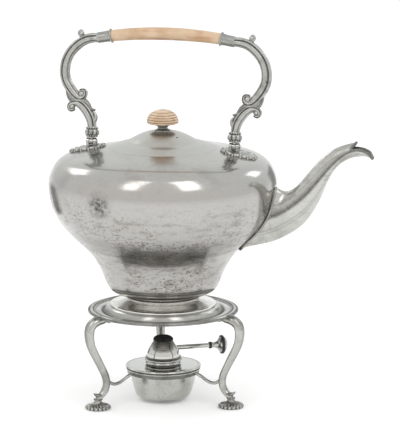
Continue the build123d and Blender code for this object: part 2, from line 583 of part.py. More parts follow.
knob_edges.append(Line(at(0, KNOB_Z + KNOB_H), at(0, KNOB_Z)))
pieces["lid_knob"] = revolve(make_face(Wire(knob_edges)), Axis.Z) - stud

# Hinge plates: a lobed plate that follows the body's shoulder, with two ears and a pin
TONGUE_R = EAR_R - 0.3
EAR_X = TONGUE_T / 2 + EAR_GAP + EAR_T / 2
plate_face = Pos(HINGE_X + 4.2, 0) * Ellipse(PLATE_L / 2 - 1.6, PLATE_W / 2 - 1.6)
for i in range(14):
    angle = i * 2 * pi / 14
    plate_face += Pos(HINGE_X + 4.2 + (PLATE_L / 2 - 2.6) * cos(angle), (PLATE_W / 2 - 2.6) * sin(angle)) * Circle(2.6)
plate_skin = turned_shell(inset(body_line[15:], -PLATE_H), PLATE_H + 0.4)
plate = extrude(Pos(0, 0, 220) * plate_face, 40) & plate_skin
ear_face = Plane.YZ * (Circle(EAR_R) + Pos(0, -6) * Rectangle(2 * EAR_R, 12))
for side in (-1, 1):
    ear = Pos(HINGE_X + side * EAR_X - EAR_T / 2, 0, HINGE_Z) * extrude(ear_face, EAR_T)
    plate += ear
pin_hole = Pos(HINGE_X, 0, HINGE_Z) * Rot(0, 90, 0) * Cylinder(PIN_R, 60)
hinge_plate = plate - body_solid - pin_hole
PIN_L = 2 * (EAR_X + EAR_T / 2)
hinge_pin = Pos(HINGE_X, 0, HINGE_Z) * Rot(0, 90, 0) * (
    Cylinder(PIN_R, PIN_L) + Pos(0, 0, PIN_L / 2 + 0.35) * Cylinder(2.0, 0.7)
    + Pos(0, 0, -PIN_L / 2 - 0.35) * Cylinder(2.0, 0.7))
pieces["hinge_plate_front"] = hinge_plate
pieces["hinge_plate_rear"] = mirrored(hinge_plate)
pieces["hinge_pin_front"] = hinge_pin
pieces["hinge_pin_rear"] = mirrored(hinge_pin)

# Handle, drawn upright: a socket with a tongue between the ears
socket = Pos(HINGE_X, 0, 0) * turned([
    (0, SOCKET_Z), (4.1, SOCKET_Z), (4.9, SOCKET_Z + 1.2), (SOCKET_R - 0.4, SOCKET_Z + 2.8),
    (SOCKET_R, SOCKET_Z + 4.8), (SOCKET_R - 0.4, SOCKET_Z + 6.8), (4.9, SOCKET_Z + 8.2), (5.2, SOCKET_Z + 9.0),
    (5.2, SOCKET_TOP - 0.6), (4.8, SOCKET_TOP), (0, SOCKET_TOP),
])
tongue_face = Plane.YZ * (Circle(TONGUE_R) + Pos(0, 2.2) * Rectangle(2 * TONGUE_R, 4.4))
tongue = Pos(HINGE_X - TONGUE_T / 2, 0, HINGE_Z) * extrude(tongue_face, TONGUE_T)
tongue_hole = Pos(HINGE_X, 0, HINGE_Z) * Rot(0, 90, 0) * Cylinder(PIN_R + RUN, 60)
socket = socket + tongue - tongue_hole

# Handle arm: a lower scroll, a bridge, and the large C-scroll up to the ferrule
grip_bend = (GRIP_L / 2) ** 2 / (2 * GRIP_SAG)
FERRULE_X = GRIP_L / 2 + FERRULE_L
FERRULE_END_Z = GRIP_TOP - GRIP_SAG - 2.6
lower_arm = bar(
    [(HINGE_X, SOCKET_TOP - 0.6), (HINGE_X + 1.0, 266.0), (HINGE_X + 3.6, 272.0), (HINGE_X + 8.2, 278.2),
     (HINGE_X + 13.8, 282.2), (HINGE_X + 18.6, 281.6), (HINGE_X + 20.6, 278.4)],
    [4.6, 4.8, 4.9, 4.6, 3.8, 3.2, 2.8], [4.2, 4.6, 4.8, 4.6, 4.0, 3.6, 3.2], sections=10)
upper_arm = bar(
    [(FERRULE_X, FERRULE_END_Z), (ARM_REACH - 21.0, 343.4), (ARM_REACH - 10.8, 337.0), (ARM_REACH - 3.6, 328.0),
     (ARM_REACH, 316.5), (ARM_REACH - 0.8, 306.0), (ARM_REACH - 5.4, 297.0), (ARM_REACH - 11.0, 290.6),
     (ARM_REACH - 15.4, 288.4)],
    [4.4, 4.8, 5.1, ARM_R, ARM_R, ARM_R, 5.0, 4.4, 3.4], [4.4, 4.8, 5.0, 5.0, 5.0, 5.0, 4.8, 4.4, 3.8], sections=14)
bridge = bar(
    [(ARM_REACH - 5.6, 290.4), (ARM_REACH - 11.6, 286.4), (ARM_REACH - 18.6, 285.4), (ARM_REACH - 24.0, 282.0),
     (ARM_REACH - 27.6, 277.8)],
    [3.6, 4.6, 4.2, 2.6, 1.4], [3.8, 4.4, 4.0, 2.8, 1.6], sections=8)
twig = bar(
    [(FERRULE_X - 0.4, FERRULE_END_Z + 3.4), (FERRULE_X + 6.0, FERRULE_END_Z + 2.6),
     (FERRULE_X + 12.4, FERRULE_END_Z + 1.4), (FERRULE_X + 16.4, FERRULE_END_Z + 3.2)],
    [2.0, 2.0, 1.6, 1.6], [2.2, 2.2, 2.0, 2.0], sections=6)
arm = (lower_arm + upper_arm + bridge + twig
       + ball(ARM_REACH - 8.4, 278.6, 3.9, 6.4) + ball(ARM_REACH - 16.1, 291.8, 4.6, 7.6)
       + ball(FERRULE_X + 15.6, FERRULE_END_Z + 4.4, 3.1, 5.2))

# Grip with a tenon at each end, held in its ferrules by rivets
end_slope = GRIP_L / 2 / grip_bend
FERRULE_TILT = degrees(atan2(GRIP_TOP - GRIP_SAG - FERRULE_END_Z, FERRULE_L))
grip_end = Pos(GRIP_L / 2, 0, GRIP_TOP - GRIP_SAG) * Rot(0, 90 + FERRULE_TILT, 0)
ferrule = grip_end * turned([
    (0, 0), (GRIP_END_R + 0.9, 0), (GRIP_END_R + 1.3, 0.7), (GRIP_END_R + 0.9, 1.6), (GRIP_END_R + 0.4, 2.4),
    (5.1, FERRULE_L - 3.0), (5.6, FERRULE_L - 2.0), (5.8, FERRULE_L - 1.0), (5.1, FERRULE_L - 0.1),
    (0, FERRULE_L - 0.1),
])
tenon = grip_end * Pos(0, 0, TENON_L / 2) * Cylinder(TENON_R, TENON_L)
RIVET_AT = 5.0
rivet = grip_end * Pos(0, 0, RIVET_AT) * Rot(90, 0, 0) * Cylinder(RIVET_R, 30)
end_cut = grip_end * Pos(0, 0, 20) * Cylinder(20, 40)
grip_line = [(x * GRIP_L / 2, GRIP_TOP - GRIP_SAG * x * x) for x in (-1.04, -0.5, 0, 0.5, 1.04)]
grip_sizes = [GRIP_END_R, GRIP_R - 0.2, GRIP_R, GRIP_R - 0.2, GRIP_END_R]
grip = bar(grip_line, grip_sizes, grip_sizes, sections=9) - end_cut - mirrored(end_cut) + tenon + mirrored(tenon)
ferrule = ferrule - tenon
arm = arm - grip_end * Pos(0, 0, FERRULE_L - 0.1 - 20) * Cylinder(4.3, 40) - ferrule - socket
rivet_pin = rivet & (ferrule + tenon)

handle_front = {"handle_arm": arm, "socket": socket, "ferrule": ferrule - rivet, "rivet": rivet_pin}
lean = Pos(0, 0, HINGE_Z) * Rot(-LEAN, 0, 0) * Pos(0, 0, -HINGE_Z)
for name, part in handle_front.items():
    pieces[f"{name}_front"] = lean * part
    pieces[f"{name}_rear"] = lean * mirrored(part)
pieces["grip"] = lean * (grip - rivet - mirrored(rivet))

os.makedirs("parts", exist_ok=True)
to_row = Pos(-ORIGIN_X, 0, 0)
for name, part in pieces.items():
    placed = to_row * part
    export_step(placed, f"parts/{name}.step")
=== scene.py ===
import json
import math

import bmesh
import bpy
import numpy as np
from mathutils import Matrix, Vector


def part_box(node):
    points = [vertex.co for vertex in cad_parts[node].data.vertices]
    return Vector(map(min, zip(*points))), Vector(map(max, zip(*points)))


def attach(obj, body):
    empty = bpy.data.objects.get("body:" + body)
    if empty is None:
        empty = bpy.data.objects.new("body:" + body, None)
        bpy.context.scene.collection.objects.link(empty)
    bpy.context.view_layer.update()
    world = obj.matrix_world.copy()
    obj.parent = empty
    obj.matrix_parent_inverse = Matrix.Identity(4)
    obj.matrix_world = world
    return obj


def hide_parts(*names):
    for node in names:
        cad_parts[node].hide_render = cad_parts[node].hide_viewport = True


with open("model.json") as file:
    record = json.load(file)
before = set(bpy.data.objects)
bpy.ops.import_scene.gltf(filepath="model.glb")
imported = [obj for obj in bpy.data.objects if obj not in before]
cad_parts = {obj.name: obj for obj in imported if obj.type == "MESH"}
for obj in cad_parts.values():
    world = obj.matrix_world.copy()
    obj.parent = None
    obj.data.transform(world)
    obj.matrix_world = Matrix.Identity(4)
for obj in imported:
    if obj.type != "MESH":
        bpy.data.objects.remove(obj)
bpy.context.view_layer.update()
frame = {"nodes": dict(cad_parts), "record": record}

# Sizes are in millimetres and measured from the kettle's upright axis and the table,
# until place() puts them into the row's frame in metres.
MM = 0.001
TAU = 2 * math.pi
LID_LOW, LID_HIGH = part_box("lid_cover")
AXIS_X = (LID_LOW.x + LID_HIGH.x) / 2

# Stand
RIM_R, RIM_TOP, RIM_UNDER = 70.0, 89.3, 86.6
SEAT_R, SEAT_Z = 53.4, 92.8
OPENING_R = 42.5
LEG_STARTS = (105.5, 225.5, 345.5)
KNEE_R, ANKLE_R = 81.6, 63.2
FOOT_REACH, FOOT_R, FOOT_Z = 72.6, 11.9, 10.0
RING_R, RING_Z, RING_TOP = 35.6, 26.6, 31.3

# Burner
BOWL_R, BOWL_FLOOR, LIP_Z = 31.6, 2.2, 31.4
PLATE_Z, PLATE_TOP = 32.6, 34.1
COLLAR_R, COLLAR_Z, HEAD_Z = 18.2, 38.4, 42.4
BELL_R, BELL_TOP, BELL_MOUTH_R = 15.9, 58.0, 8.7
REG_AZ, REG_OFF, REG_Z = 29.0, 8.0, 47.5

# Kettle
WALL = 1.2
FOOT_EDGE_R, STEM_R = 50.2, 33.8
SPOUT_TIP_X, SPOUT_WALL = 199.8, 1.1
BODY_LINE = [
    (36.0, 105.0), (44.6, 105.6), (49.0, 108.0), (52.3, 111.8), (55.4, 119.0), (58.7, 127.0),
    (62.6, 134.8), (67.4, 142.2), (74.2, 149.8), (82.5, 157.8), (90.2, 165.6), (96.6, 173.2),
    (101.3, 180.8), (104.7, 188.5), (106.8, 197.5), (108.0, 208.5), (107.2, 215.8), (104.9, 222.4),
    (100.6, 229.2), (95.4, 233.4), (89.0, 236.2), (81.5, 238.2), (73.5, 239.8), (60.0, 242.3),
    (52.0, 243.9), (46.0, 245.1),
]
SHOULDER_Z = 215.0
LID_LINE = [
    (52.0, 243.95), (49.0, 244.95), (45.5, 246.1), (39.5, 248.2), (34.0, 249.7), (30.0, 251.9),
    (24.5, 254.9), (19.0, 257.4), (12.0, 259.4), (5.0, 260.25), (0.0, 260.4),
]
VENT_AT, VENT_AZ, VENT_R = 22.0, -39.0, 1.1
KNOB_Z, KNOB_R, KNOB_H, KNOB_RIBS = 266.2, 15.0, 14.0, 6

# Handle
HINGE_X, HINGE_Z, LEAN = 69.2, 247.0, 8.5
SOCKET_Z, SOCKET_TOP, SOCKET_R = 250.9, 261.2, 6.5
ARM_REACH = 97.4
GRIP_TOP, GRIP_L, GRIP_SAG, GRIP_R, GRIP_END_R = 350.6, 104.8, 3.3, 6.0, 5.4
FERRULE_L = 14.4
FERRULE_X = GRIP_L / 2 + FERRULE_L
FERRULE_END_Z = GRIP_TOP - GRIP_SAG - 2.6


# Shapes

CAP_STEPS = 6
# Points closer than this, in metres, become one.
JOIN_WITHIN = 2e-6


def place(points):
    """Millimetres about the kettle's axis, as metres in the row's frame."""
    return np.asarray(points, float) * MM + (AXIS_X, 0, 0)


def turns(count):
    """The angles of even steps round a full turn, in radians."""
    return np.arange(count) * TAU / count


def bell_curve(distance, spread):
    """exp(-(distance / spread)^2): 1 at no distance, falling off to both sides."""
    return np.exp(-(distance / spread) ** 2)


def spline(points, count):
    """A natural cubic through the points, with chord length as its parameter, sampled count times.
    The second derivatives solve h0 m0 + 2 (h0 + h1) m1 + h1 m2 = 6 (slope1 - slope0)."""
    p = np.asarray(points, float)
    h = np.linalg.norm(np.diff(p, axis=0), axis=1)
    t = np.concatenate([[0], np.cumsum(h)])
    slope = np.diff(p, axis=0) / h[:, None]
    inner = np.arange(1, len(p) - 1)
    system = np.eye(len(p))
    system[inner, inner - 1] = h[:-1]
    system[inner, inner] = 2 * (h[:-1] + h[1:])
    system[inner, inner + 1] = h[1:]
    right = np.zeros_like(p)
    right[1:-1] = 6 * np.diff(slope, axis=0)
    bend = np.linalg.solve(system, right)
    s = np.linspace(0, t[-1], count)
    k = np.clip(np.searchsorted(t, s, side="right") - 1, 0, len(h) - 1)
    a, b, w = (t[k + 1] - s)[:, None], (s - t[k])[:, None], h[k][:, None]
    return (bend[k] * a ** 3 + bend[k + 1] * b ** 3) / (6 * w) + (
        (p[k] / w - bend[k] * w / 6) * a + (p[k + 1] / w - bend[k + 1] * w / 6) * b)


def rounded(corners, radius=0.35, steps=5):
    """A closed outline whose corners are parabolas: from a point before each corner to one after it."""
    p = np.asarray(corners, float)
    before, after = np.roll(p, 1, axis=0) - p, np.roll(p, -1, axis=0) - p
    lengths = [np.linalg.norm(v, axis=1, keepdims=True) for v in (before, after)]
    start = p + before * np.minimum(radius / lengths[0], 0.45)
    end = p + after * np.minimum(radius / lengths[1], 0.45)
    t = np.linspace(0, 1, steps)[None, :, None]
    bend = (1 - t) ** 2 * start[:, None] + 2 * t * (1 - t) * p[:, None] + t ** 2 * end[:, None]
    return bend.reshape(-1, 2)


def sheet_outline(line, wall):
    """A closed outline round a thin sheet: the line, and back along it moved to its left by the wall."""
    step = np.gradient(line, axis=0)
    step /= np.linalg.norm(step, axis=1, keepdims=True)
    inner = line + wall * np.stack([-step[:, 1], step[:, 0]], axis=1)
    inner[:, 0] = np.maximum(inner[:, 0], 0)
    return np.concatenate([line, inner[::-1]])


def turned(outline, steps=160, lobes=0, depth=0.0):
    """A surface of revolution: x = r cos a, y = r sin a. Lobes add depth cos(lobes a) to each radius."""
    outline = np.asarray(outline, float)
    a = turns(steps)[:, None]
    r = outline[:, 0] + np.asarray(depth) * np.cos(lobes * a) * (lobes > 0)
    z = np.broadcast_to(outline[:, 1], r.shape)
    return np.stack([r * np.cos(a), r * np.sin(a), z], axis=-1)


def moved(points, shift=(0, 0, 0), turn=0.0):
    """Points turned about the upright axis by degrees, after a shift."""
    p = np.asarray(points, float) + shift
    c, s = math.cos(math.radians(turn)), math.sin(math.radians(turn))
    return np.stack([p[..., 0] * c - p[..., 1] * s, p[..., 0] * s + p[..., 1] * c, p[..., 2]], axis=-1)


def swept(line, depths, widths, groove=0.0, ridge=0.0, steps=110, sides=36):
    """Ovals along a smooth line of the X-Z plane: depth is the half-thickness in the plane, width across it.
    groove parts both side faces into three reeds: it is the share of the width that two bell-shaped valleys
    sink in, the deeper one nearer the outer side. ridge raises the middle of the outer side. The ends close
    with half-rounds: the size falls as a cosine while the centre moves on as a sine."""
    centre = spline(line, steps)
    tangent = np.gradient(centre, axis=0)
    tangent /= np.linalg.norm(tangent, axis=1, keepdims=True)
    chords = np.linalg.norm(np.diff(np.asarray(line, float), axis=0), axis=1)
    stations = np.concatenate([[0], np.cumsum(chords)])
    share = np.linspace(0, stations[-1], steps)
    if len(depths) != len(line):
        stations = np.linspace(0, stations[-1], len(depths))
    depth = np.interp(share, stations, depths)
    width = np.interp(share, stations, widths)
    cap = np.linspace(0, TAU / 4, CAP_STEPS + 1)[1:]
    head = centre[0] - tangent[0] * depth[0] * np.sin(cap[::-1])[:, None]
    tail = centre[-1] + tangent[-1] * depth[-1] * np.sin(cap)[:, None]
    centre = np.concatenate([head, centre, tail])
    tangent = np.pad(tangent, ((CAP_STEPS, CAP_STEPS), (0, 0)), mode="edge")
    depth = np.pad(depth, CAP_STEPS, mode="edge")
    width = np.pad(width, CAP_STEPS, mode="edge")
    size = np.concatenate([np.cos(cap[::-1]), np.ones(steps), np.cos(cap)])
    a = turns(sides)
    across = width[:, None] * np.sin(a) * (1 - groove * reed_valleys(a, 0.17))
    along = depth[:, None] * np.cos(a) * (1 + ridge * bell_curve(np.sin(a), 0.3) * (np.cos(a) < 0))
    along, across = along * size[:, None], across * size[:, None]
    x = centre[:, :1] - tangent[:, 1:] * along
    z = centre[:, 1:] + tangent[:, :1] * along
    return np.stack([x, across, z], axis=-1).swapaxes(0, 1)


def reed_valleys(a, spread):
    """Depth of the two valleys between a bar's reeds, from 0 to 1, at an angle round its section: a bell
    curve about each valley's cosine. The second valley is shallower and narrower."""
    return bell_curve(np.cos(a) - 0.42, spread) + 0.6 * bell_curve(np.cos(a) + 0.62, 0.8 * spread)


def reed_oxide(sides, amount=1.0):
    """Share of dark oxide round a reeded bar, narrower than the valleys it lies in."""
    return amount * np.clip(1.3 * reed_valleys(turns(sides), 0.13), 0, 1)[:, None]


def divided(outline, gap=0.45):
    """A closed outline with a point at least every gap millimetres: its length read again at even steps."""
    closed = np.vstack([outline, outline[:1]])
    along = np.concatenate([[0], np.cumsum(np.linalg.norm(np.diff(closed, axis=0), axis=1))])
    at = np.unique(np.round(np.concatenate([along[:-1], np.arange(0, along[-1], gap)]), 2))
    return np.stack([np.interp(at, along, closed[:, 0]), np.interp(at, along, closed[:, 1])], axis=1)


def inner_corners(outline, reach=0.8):
    """Share of dark oxide along a closed outline: how sharply it turns inwards, spread over the reach
    as a bell curve of the distance."""
    after = np.roll(outline, -1, axis=0)
    step = (after - outline) / np.maximum(np.linalg.norm(after - outline, axis=1, keepdims=True), 1e-6)
    before = np.roll(step, 1, axis=0)
    turn = before[:, 0] * step[:, 1] - before[:, 1] * step[:, 0]
    area = np.sum(outline[:, 0] * after[:, 1] - after[:, 0] * outline[:, 1])
    inward = np.clip(-turn * np.sign(area), 0, 1)
    apart = np.linalg.norm(outline[:, None] - outline[None], axis=-1)
    return np.clip(1.5 * (inward * bell_curve(apart, reach)).sum(axis=1), 0, 1)


def bead_phase(count, length):
    """Place along each bead of a row, from -1 to 1."""
    return 2 * ((np.arange(length) * count / length) % 1.0) - 1


def bead_gaps(count, length):
    """Share of dark oxide along a row of beads: 1 between two beads, 0 over the middle of each."""
    return np.clip((np.abs(bead_phase(count, length)) - 0.45) / 0.35, 0, 1)


def beads(path, radius, count, sides=8):
    """A row of touching beads along a closed path: a tube whose radius is nearly a ball's,
    R sqrt(1 - 0.86 u u), where u runs from -1 to 1 over each bead. With no beads it is a plain wire."""
    path = np.asarray(path, float)
    tangent = np.roll(path, -1, 0) - np.roll(path, 1, 0)
    tangent /= np.linalg.norm(tangent, axis=1, keepdims=True)
    side = np.cross(tangent, (0.013, 0.017, 1.0))
    side /= np.linalg.norm(side, axis=1, keepdims=True)
    rise = np.cross(side, tangent)
    size = np.broadcast_to(radius, len(path))
    if count:
        size = radius * np.sqrt(np.clip(1 - 0.86 * bead_phase(count, len(path)) ** 2, 0, 1))
    a = turns(sides)
    around = side[:, None] * np.cos(a)[:, None] + rise[:, None] * np.sin(a)[:, None]
    return (path[:, None] + around * size[:, None, None]).swapaxes(0, 1)


def circle(r, z, count):
    """Points of a level circle about the kettle's axis."""
    a = turns(count)
    return np.stack([r * np.cos(a), r * np.sin(a), np.full(count, z)], axis=-1)


def leaned(points):
    """The handle's pieces are drawn upright and lean back about the hinge line."""
    c, s = math.cos(math.radians(LEAN)), math.sin(math.radians(LEAN))
    y, z = points[..., 1], points[..., 2] - HINGE_Z
    return np.stack([points[..., 0], y * c + z * s, HINGE_Z - y * s + z * c], axis=-1)


def on_line(points, origin, direction):
    """A turned piece's points, with its axis of revolution laid along a direction from an origin."""
    d = np.asarray(direction, float)
    d /= np.linalg.norm(d)
    side = np.cross((0, 1, 0) if abs(d[1]) < 0.9 else (1, 0, 0), d)
    side /= np.linalg.norm(side)
    up = np.cross(d, side)
    return np.asarray(origin) + points[..., :1] * side + points[..., 1:2] * up + points[..., 2:] * d


def body_height(x, y):
    """Height of the body's shoulder over a point: its outline, read at that point's radius."""
    shoulder = spline(BODY_LINE, 400)[::-1]
    upper = shoulder[shoulder[:, 1] > SHOULDER_Z]
    return np.interp(np.hypot(x, y), upper[:, 0], upper[:, 1])


def piece(name, points, body, finish, stands_for=(), along=False, crease=42, patina_and_shade=None):
    """A smooth mesh on a grid of points: each four neighbours make a face, equal points are joined.
    The last row joins the first, and along joins the last column to the first too.
    The share per point is kept as a vertex attribute: 1 where dark oxide lies in a groove, and on some pieces
    where painted shade and painted reflections lie."""
    rows, columns = points.shape[:2]
    index = np.arange(rows * columns).reshape(rows, columns)
    index = np.vstack([index, index[:1]])
    if along:
        index = np.hstack([index, index[:, :1]])
    corners = [index[:-1, :-1], index[1:, :-1], index[1:, 1:], index[:-1, 1:]]
    mesh = bpy.data.meshes.new(name)
    mesh.from_pydata(place(points).reshape(-1, 3), [], np.stack(corners, axis=-1).reshape(-1, 4))
    share = np.zeros((rows, columns)) if patina_and_shade is None else np.broadcast_to(patina_and_shade, (rows, columns))
    oxide = mesh.attributes.new("patina_and_shade", "FLOAT", "POINT")
    oxide.data.foreach_set("value", share.astype(np.float32).ravel())
    joined = bmesh.new()
    joined.from_mesh(mesh)
    bmesh.ops.remove_doubles(joined, verts=joined.verts, dist=JOIN_WITHIN)
    bmesh.ops.recalc_face_normals(joined, faces=joined.faces)
    joined.to_mesh(mesh)
    joined.free()
    mesh.shade_smooth()
    mesh.set_sharp_from_angle(angle=math.radians(crease))
    mesh.materials.append(finish)
    thing = bpy.data.objects.new(name, mesh)
    bpy.context.scene.collection.objects.link(thing)
    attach(thing, body)
    if stands_for:
        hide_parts(*stands_for)
    return thing


def bead_row(name, path, radius, count, body, finish, sides=8, shaped=lambda points: points):
    """A closed row of beads as a piece, with dark oxide between them. shaped lays it in its place."""
    piece(name, shaped(beads(path, radius, count, sides)), body, finish, along=True,
          patina_and_shade=bead_gaps(count, len(path)))


def ring(name, outline, body, finish, stands_for=(), steps=128, oxide=1.0):
    """A turned piece with a closed outline, with dark oxide in its inner corners."""
    line = divided(np.asarray(outline, float))
    piece(name, turned(line, steps), body, finish, stands_for, along=True,
          patina_and_shade=oxide * inner_corners(line))


# Shader groups

def socket_group(name, inputs, outputs):
    """An empty shader group with named sockets: inputs as (name, kind, value), outputs as (name, kind)."""
    group = bpy.data.node_groups.new(name, "ShaderNodeTree")
    for label, kind, value in inputs:
        socket = group.interface.new_socket(label, in_out="INPUT", socket_type="NodeSocket" + kind)
        if value is not None:
            socket.default_value = value
    for label, kind in outputs:
        group.interface.new_socket(label, in_out="OUTPUT", socket_type="NodeSocket" + kind)
    return group, group.nodes.new("NodeGroupInput"), group.nodes.new("NodeGroupOutput")


def feed(tree, socket, value):
    """Links another node's output to an input, or sets the input's own value."""
    if hasattr(value, "is_linked"):
        tree.links.new(value, socket)
    else:
        socket.default_value = value


def node(tree, kind, links=(), **settings):
    """A new node with its settings. links are (input, output socket) pairs."""
    made = tree.nodes.new("ShaderNode" + kind)
    for key, value in settings.items():
        setattr(made, key, value)
    for label, output in links:
        tree.links.new(output, made.inputs[label])
    return made


def noise(tree, vector, scale, detail=4.0, rough=0.55, distortion=0.0):
    """A noise texture's factor at a scale per metre."""
    made = node(tree, "TexNoise", [("Vector", vector)])
    values = {"Scale": scale, "Detail": detail, "Roughness": rough, "Distortion": distortion}
    for label, value in values.items():
        feed(tree, made.inputs[label], value)
    return made.outputs["Fac"]


def ramp(tree, value, low, high, bottom=0.0, top=1.0):
    """A value taken from low..high to bottom..top, smoothly and held at both ends."""
    made = node(tree, "MapRange", [("Value", value)], interpolation_type="SMOOTHSTEP")
    for label, number in (("From Min", low), ("From Max", high), ("To Min", bottom), ("To Max", top)):
        feed(tree, made.inputs[label], number)
    return made.outputs["Result"]


def math_node(tree, operation, *values):
    """The result of one math operation on values or sockets."""
    made = node(tree, "Math", operation=operation)
    for slot, value in enumerate(values):
        feed(tree, made.inputs[slot], value)
    return made.outputs[0]


def times(tree, a, b):
    """The product of two values or sockets."""
    return math_node(tree, "MULTIPLY", a, b)


def mix_colours(tree, share, a, b):
    """Colour a at share 0, colour b at share 1."""
    made = node(tree, "Mix", data_type="RGBA")
    for slot, value in ((0, share), (6, a), (7, b)):
        feed(tree, made.inputs[slot], value)
    return made.outputs[2]


def aged_silver_group():
    """Old silver plate. Cloudy noise chooses between the bright and the dull colour, finer noise adds grey
    specks, and the dull places are rougher. The height is the shallow waviness of hand-raised sheet."""
    group, given, out = socket_group(
        "aged_silver",
        [("Vector", "Vector", None), ("Bright", "Color", (0.8, 0.8, 0.8, 1)),
         ("Dull", "Color", (0.4, 0.4, 0.4, 1)), ("Cloud Scale", "Float", 14.0), ("Tarnish", "Float", 0.5),
         ("Smooth", "Float", 0.15), ("Rough", "Float", 0.35)],
        [("Color", "Color"), ("Roughness", "Float"), ("Height", "Float")])
    vector, tarnish, smooth = given.outputs["Vector"], given.outputs["Tarnish"], given.outputs["Smooth"]
    cloud = noise(group, vector, given.outputs["Cloud Scale"], detail=5.0, rough=0.6, distortion=0.4)
    fine = noise(group, vector, 420.0, detail=3.0, rough=0.7)
    lowest = math_node(group, "SUBTRACT", 0.86, times(group, tarnish, 0.5))
    dull = ramp(group, cloud, lowest, math_node(group, "ADD", lowest, 0.25))
    specks = ramp(group, fine, 0.56, 0.74, 0.0, 0.5)
    share = times(group, math_node(group, "ADD", times(group, dull, 0.7), specks), tarnish)
    colour = mix_colours(group, share, given.outputs["Bright"], given.outputs["Dull"])
    group.links.new(colour, out.inputs["Color"])
    spread = math_node(group, "SUBTRACT", given.outputs["Rough"], smooth)
    group.links.new(math_node(group, "MULTIPLY_ADD", share, spread, smooth), out.inputs["Roughness"])
    group.links.new(noise(group, vector, 26.0, detail=2.0, rough=0.4), out.inputs["Height"])
    return group


def scratches_group():
    """Fine wiping scratches: two noises, each drawn out along one direction, kept only where they peak."""
    group, given, out = socket_group(
        "fine_scratches", [("Vector", "Vector", None), ("Amount", "Float", 0.5)],
        [("Mask", "Float"), ("Height", "Float")])
    found = []
    for turn, stretch in ((0.5, (60.0, 60.0, 1500.0)), (-0.8, (900.0, 900.0, 40.0))):
        laid = node(group, "Mapping", [("Vector", given.outputs["Vector"])])
        laid.inputs["Rotation"].default_value = (turn, 0.3 * turn, 0.2)
        laid.inputs["Scale"].default_value = stretch
        drawn = noise(group, laid.outputs["Vector"], 1.0, detail=3.0, rough=0.6)
        found.append(ramp(group, drawn, 0.62, 0.74))
    both = times(group, math_node(group, "MAXIMUM", *found), given.outputs["Amount"])
    group.links.new(both, out.inputs["Mask"])
    group.links.new(times(group, both, -1.0), out.inputs["Height"])
    return group


def pits_group():
    """Corrosion pits and worn streaks between two heights: noise drawn out sideways, kept where it peaks,
    and faded out towards the low and the high edge of the band."""
    group, given, out = socket_group(
        "pitted_band",
        [("Vector", "Vector", None), ("Low", "Float", 0.13), ("High", "Float", 0.19),
         ("Amount", "Float", 0.8)],
        [("Mask", "Float"), ("Height", "Float")])
    even, low, high = given.outputs["Vector"], given.outputs["Low"], given.outputs["High"]
    height = node(group, "SeparateXYZ", [("Vector", even)]).outputs["Z"]
    rise = ramp(group, height, math_node(group, "SUBTRACT", low, 0.016), low)
    fall = ramp(group, height, high, math_node(group, "ADD", high, 0.02), 1.0, 0.0)
    band = times(group, rise, fall)
    laid = node(group, "Mapping", [("Vector", even)])
    laid.inputs["Scale"].default_value = (1.0, 1.0, 3.2)
    drawn = laid.outputs["Vector"]
    streaks = ramp(group, noise(group, drawn, 130.0, detail=7.0, rough=0.75), 0.54, 0.62, 0.0, 0.9)
    dots = ramp(group, noise(group, even, 430.0, detail=3.0, rough=0.6), 0.57, 0.65, 0.0, 0.9)
    stains = ramp(group, noise(group, drawn, 60.0, detail=6.0, rough=0.65), 0.48, 0.68, 0.0, 0.45)
    patches = ramp(group, noise(group, even, 26.0, detail=4.0, rough=0.6), 0.36, 0.62, 0.15, 1.0)
    marks = times(group, math_node(group, "MAXIMUM", streaks, dots), patches)
    marks = math_node(group, "MAXIMUM", marks, stains)
    mask = times(group, times(group, marks, band), given.outputs["Amount"])
    group.links.new(mask, out.inputs["Mask"])
    group.links.new(times(group, mask, -1.0), out.inputs["Height"])
    return group


def patina_and_shade_group():
    """Dark oxide left in hollows, and on some pieces painted shade and painted reflections: the piece's own
    share of them, or low pointiness, broken up by noise.
    """
    group, given, out = socket_group(
        "patina_and_shade_in_hollows", [("Vector", "Vector", None), ("Share", "Float", 0.0), ("Pointiness", "Float", 0.5),
                         ("Amount", "Float", 1.0)], [("Mask", "Float")])
    pointy = ramp(group, given.outputs["Pointiness"], 0.40, 0.49, 0.9, 0.0)
    fine = noise(group, given.outputs["Vector"], 700.0, detail=3.0, rough=0.6)
    grime = ramp(group, fine, 0.3, 0.6, 0.7, 1.0)
    mask = times(group, math_node(group, "MAXIMUM", pointy, given.outputs["Share"]), grime)
    group.links.new(times(group, mask, given.outputs["Amount"]), out.inputs["Mask"])
    return group


def soot_and_shade_group():
    """Soot, and on some pieces painted shade, between two heights, fading out past both, and patchy with a
    noise.
    """
    group, given, out = socket_group(
        "soot_and_shade_band", [("Vector", "Vector", None), ("Low", "Float", 0.14), ("High", "Float", 0.148),
                      ("Fade Down", "Float", 0.006), ("Fade Up", "Float", 0.018), ("Amount", "Float", 0.6)],
        [("Mask", "Float")])
    vector, low, high = given.outputs["Vector"], given.outputs["Low"], given.outputs["High"]
    height = node(group, "SeparateXYZ", [("Vector", vector)]).outputs["Z"]
    rise = ramp(group, height, math_node(group, "SUBTRACT", low, given.outputs["Fade Down"]), low)
    fall = ramp(group, height, high, math_node(group, "ADD", high, given.outputs["Fade Up"]), 1.0, 0.0)
    patchy = ramp(group, noise(group, vector, 45.0, detail=5.0, rough=0.65), 0.3, 0.65, 0.65, 1.0)
    mask = times(group, times(group, rise, fall), patchy)
    group.links.new(times(group, mask, given.outputs["Amount"]), out.inputs["Mask"])
    return group


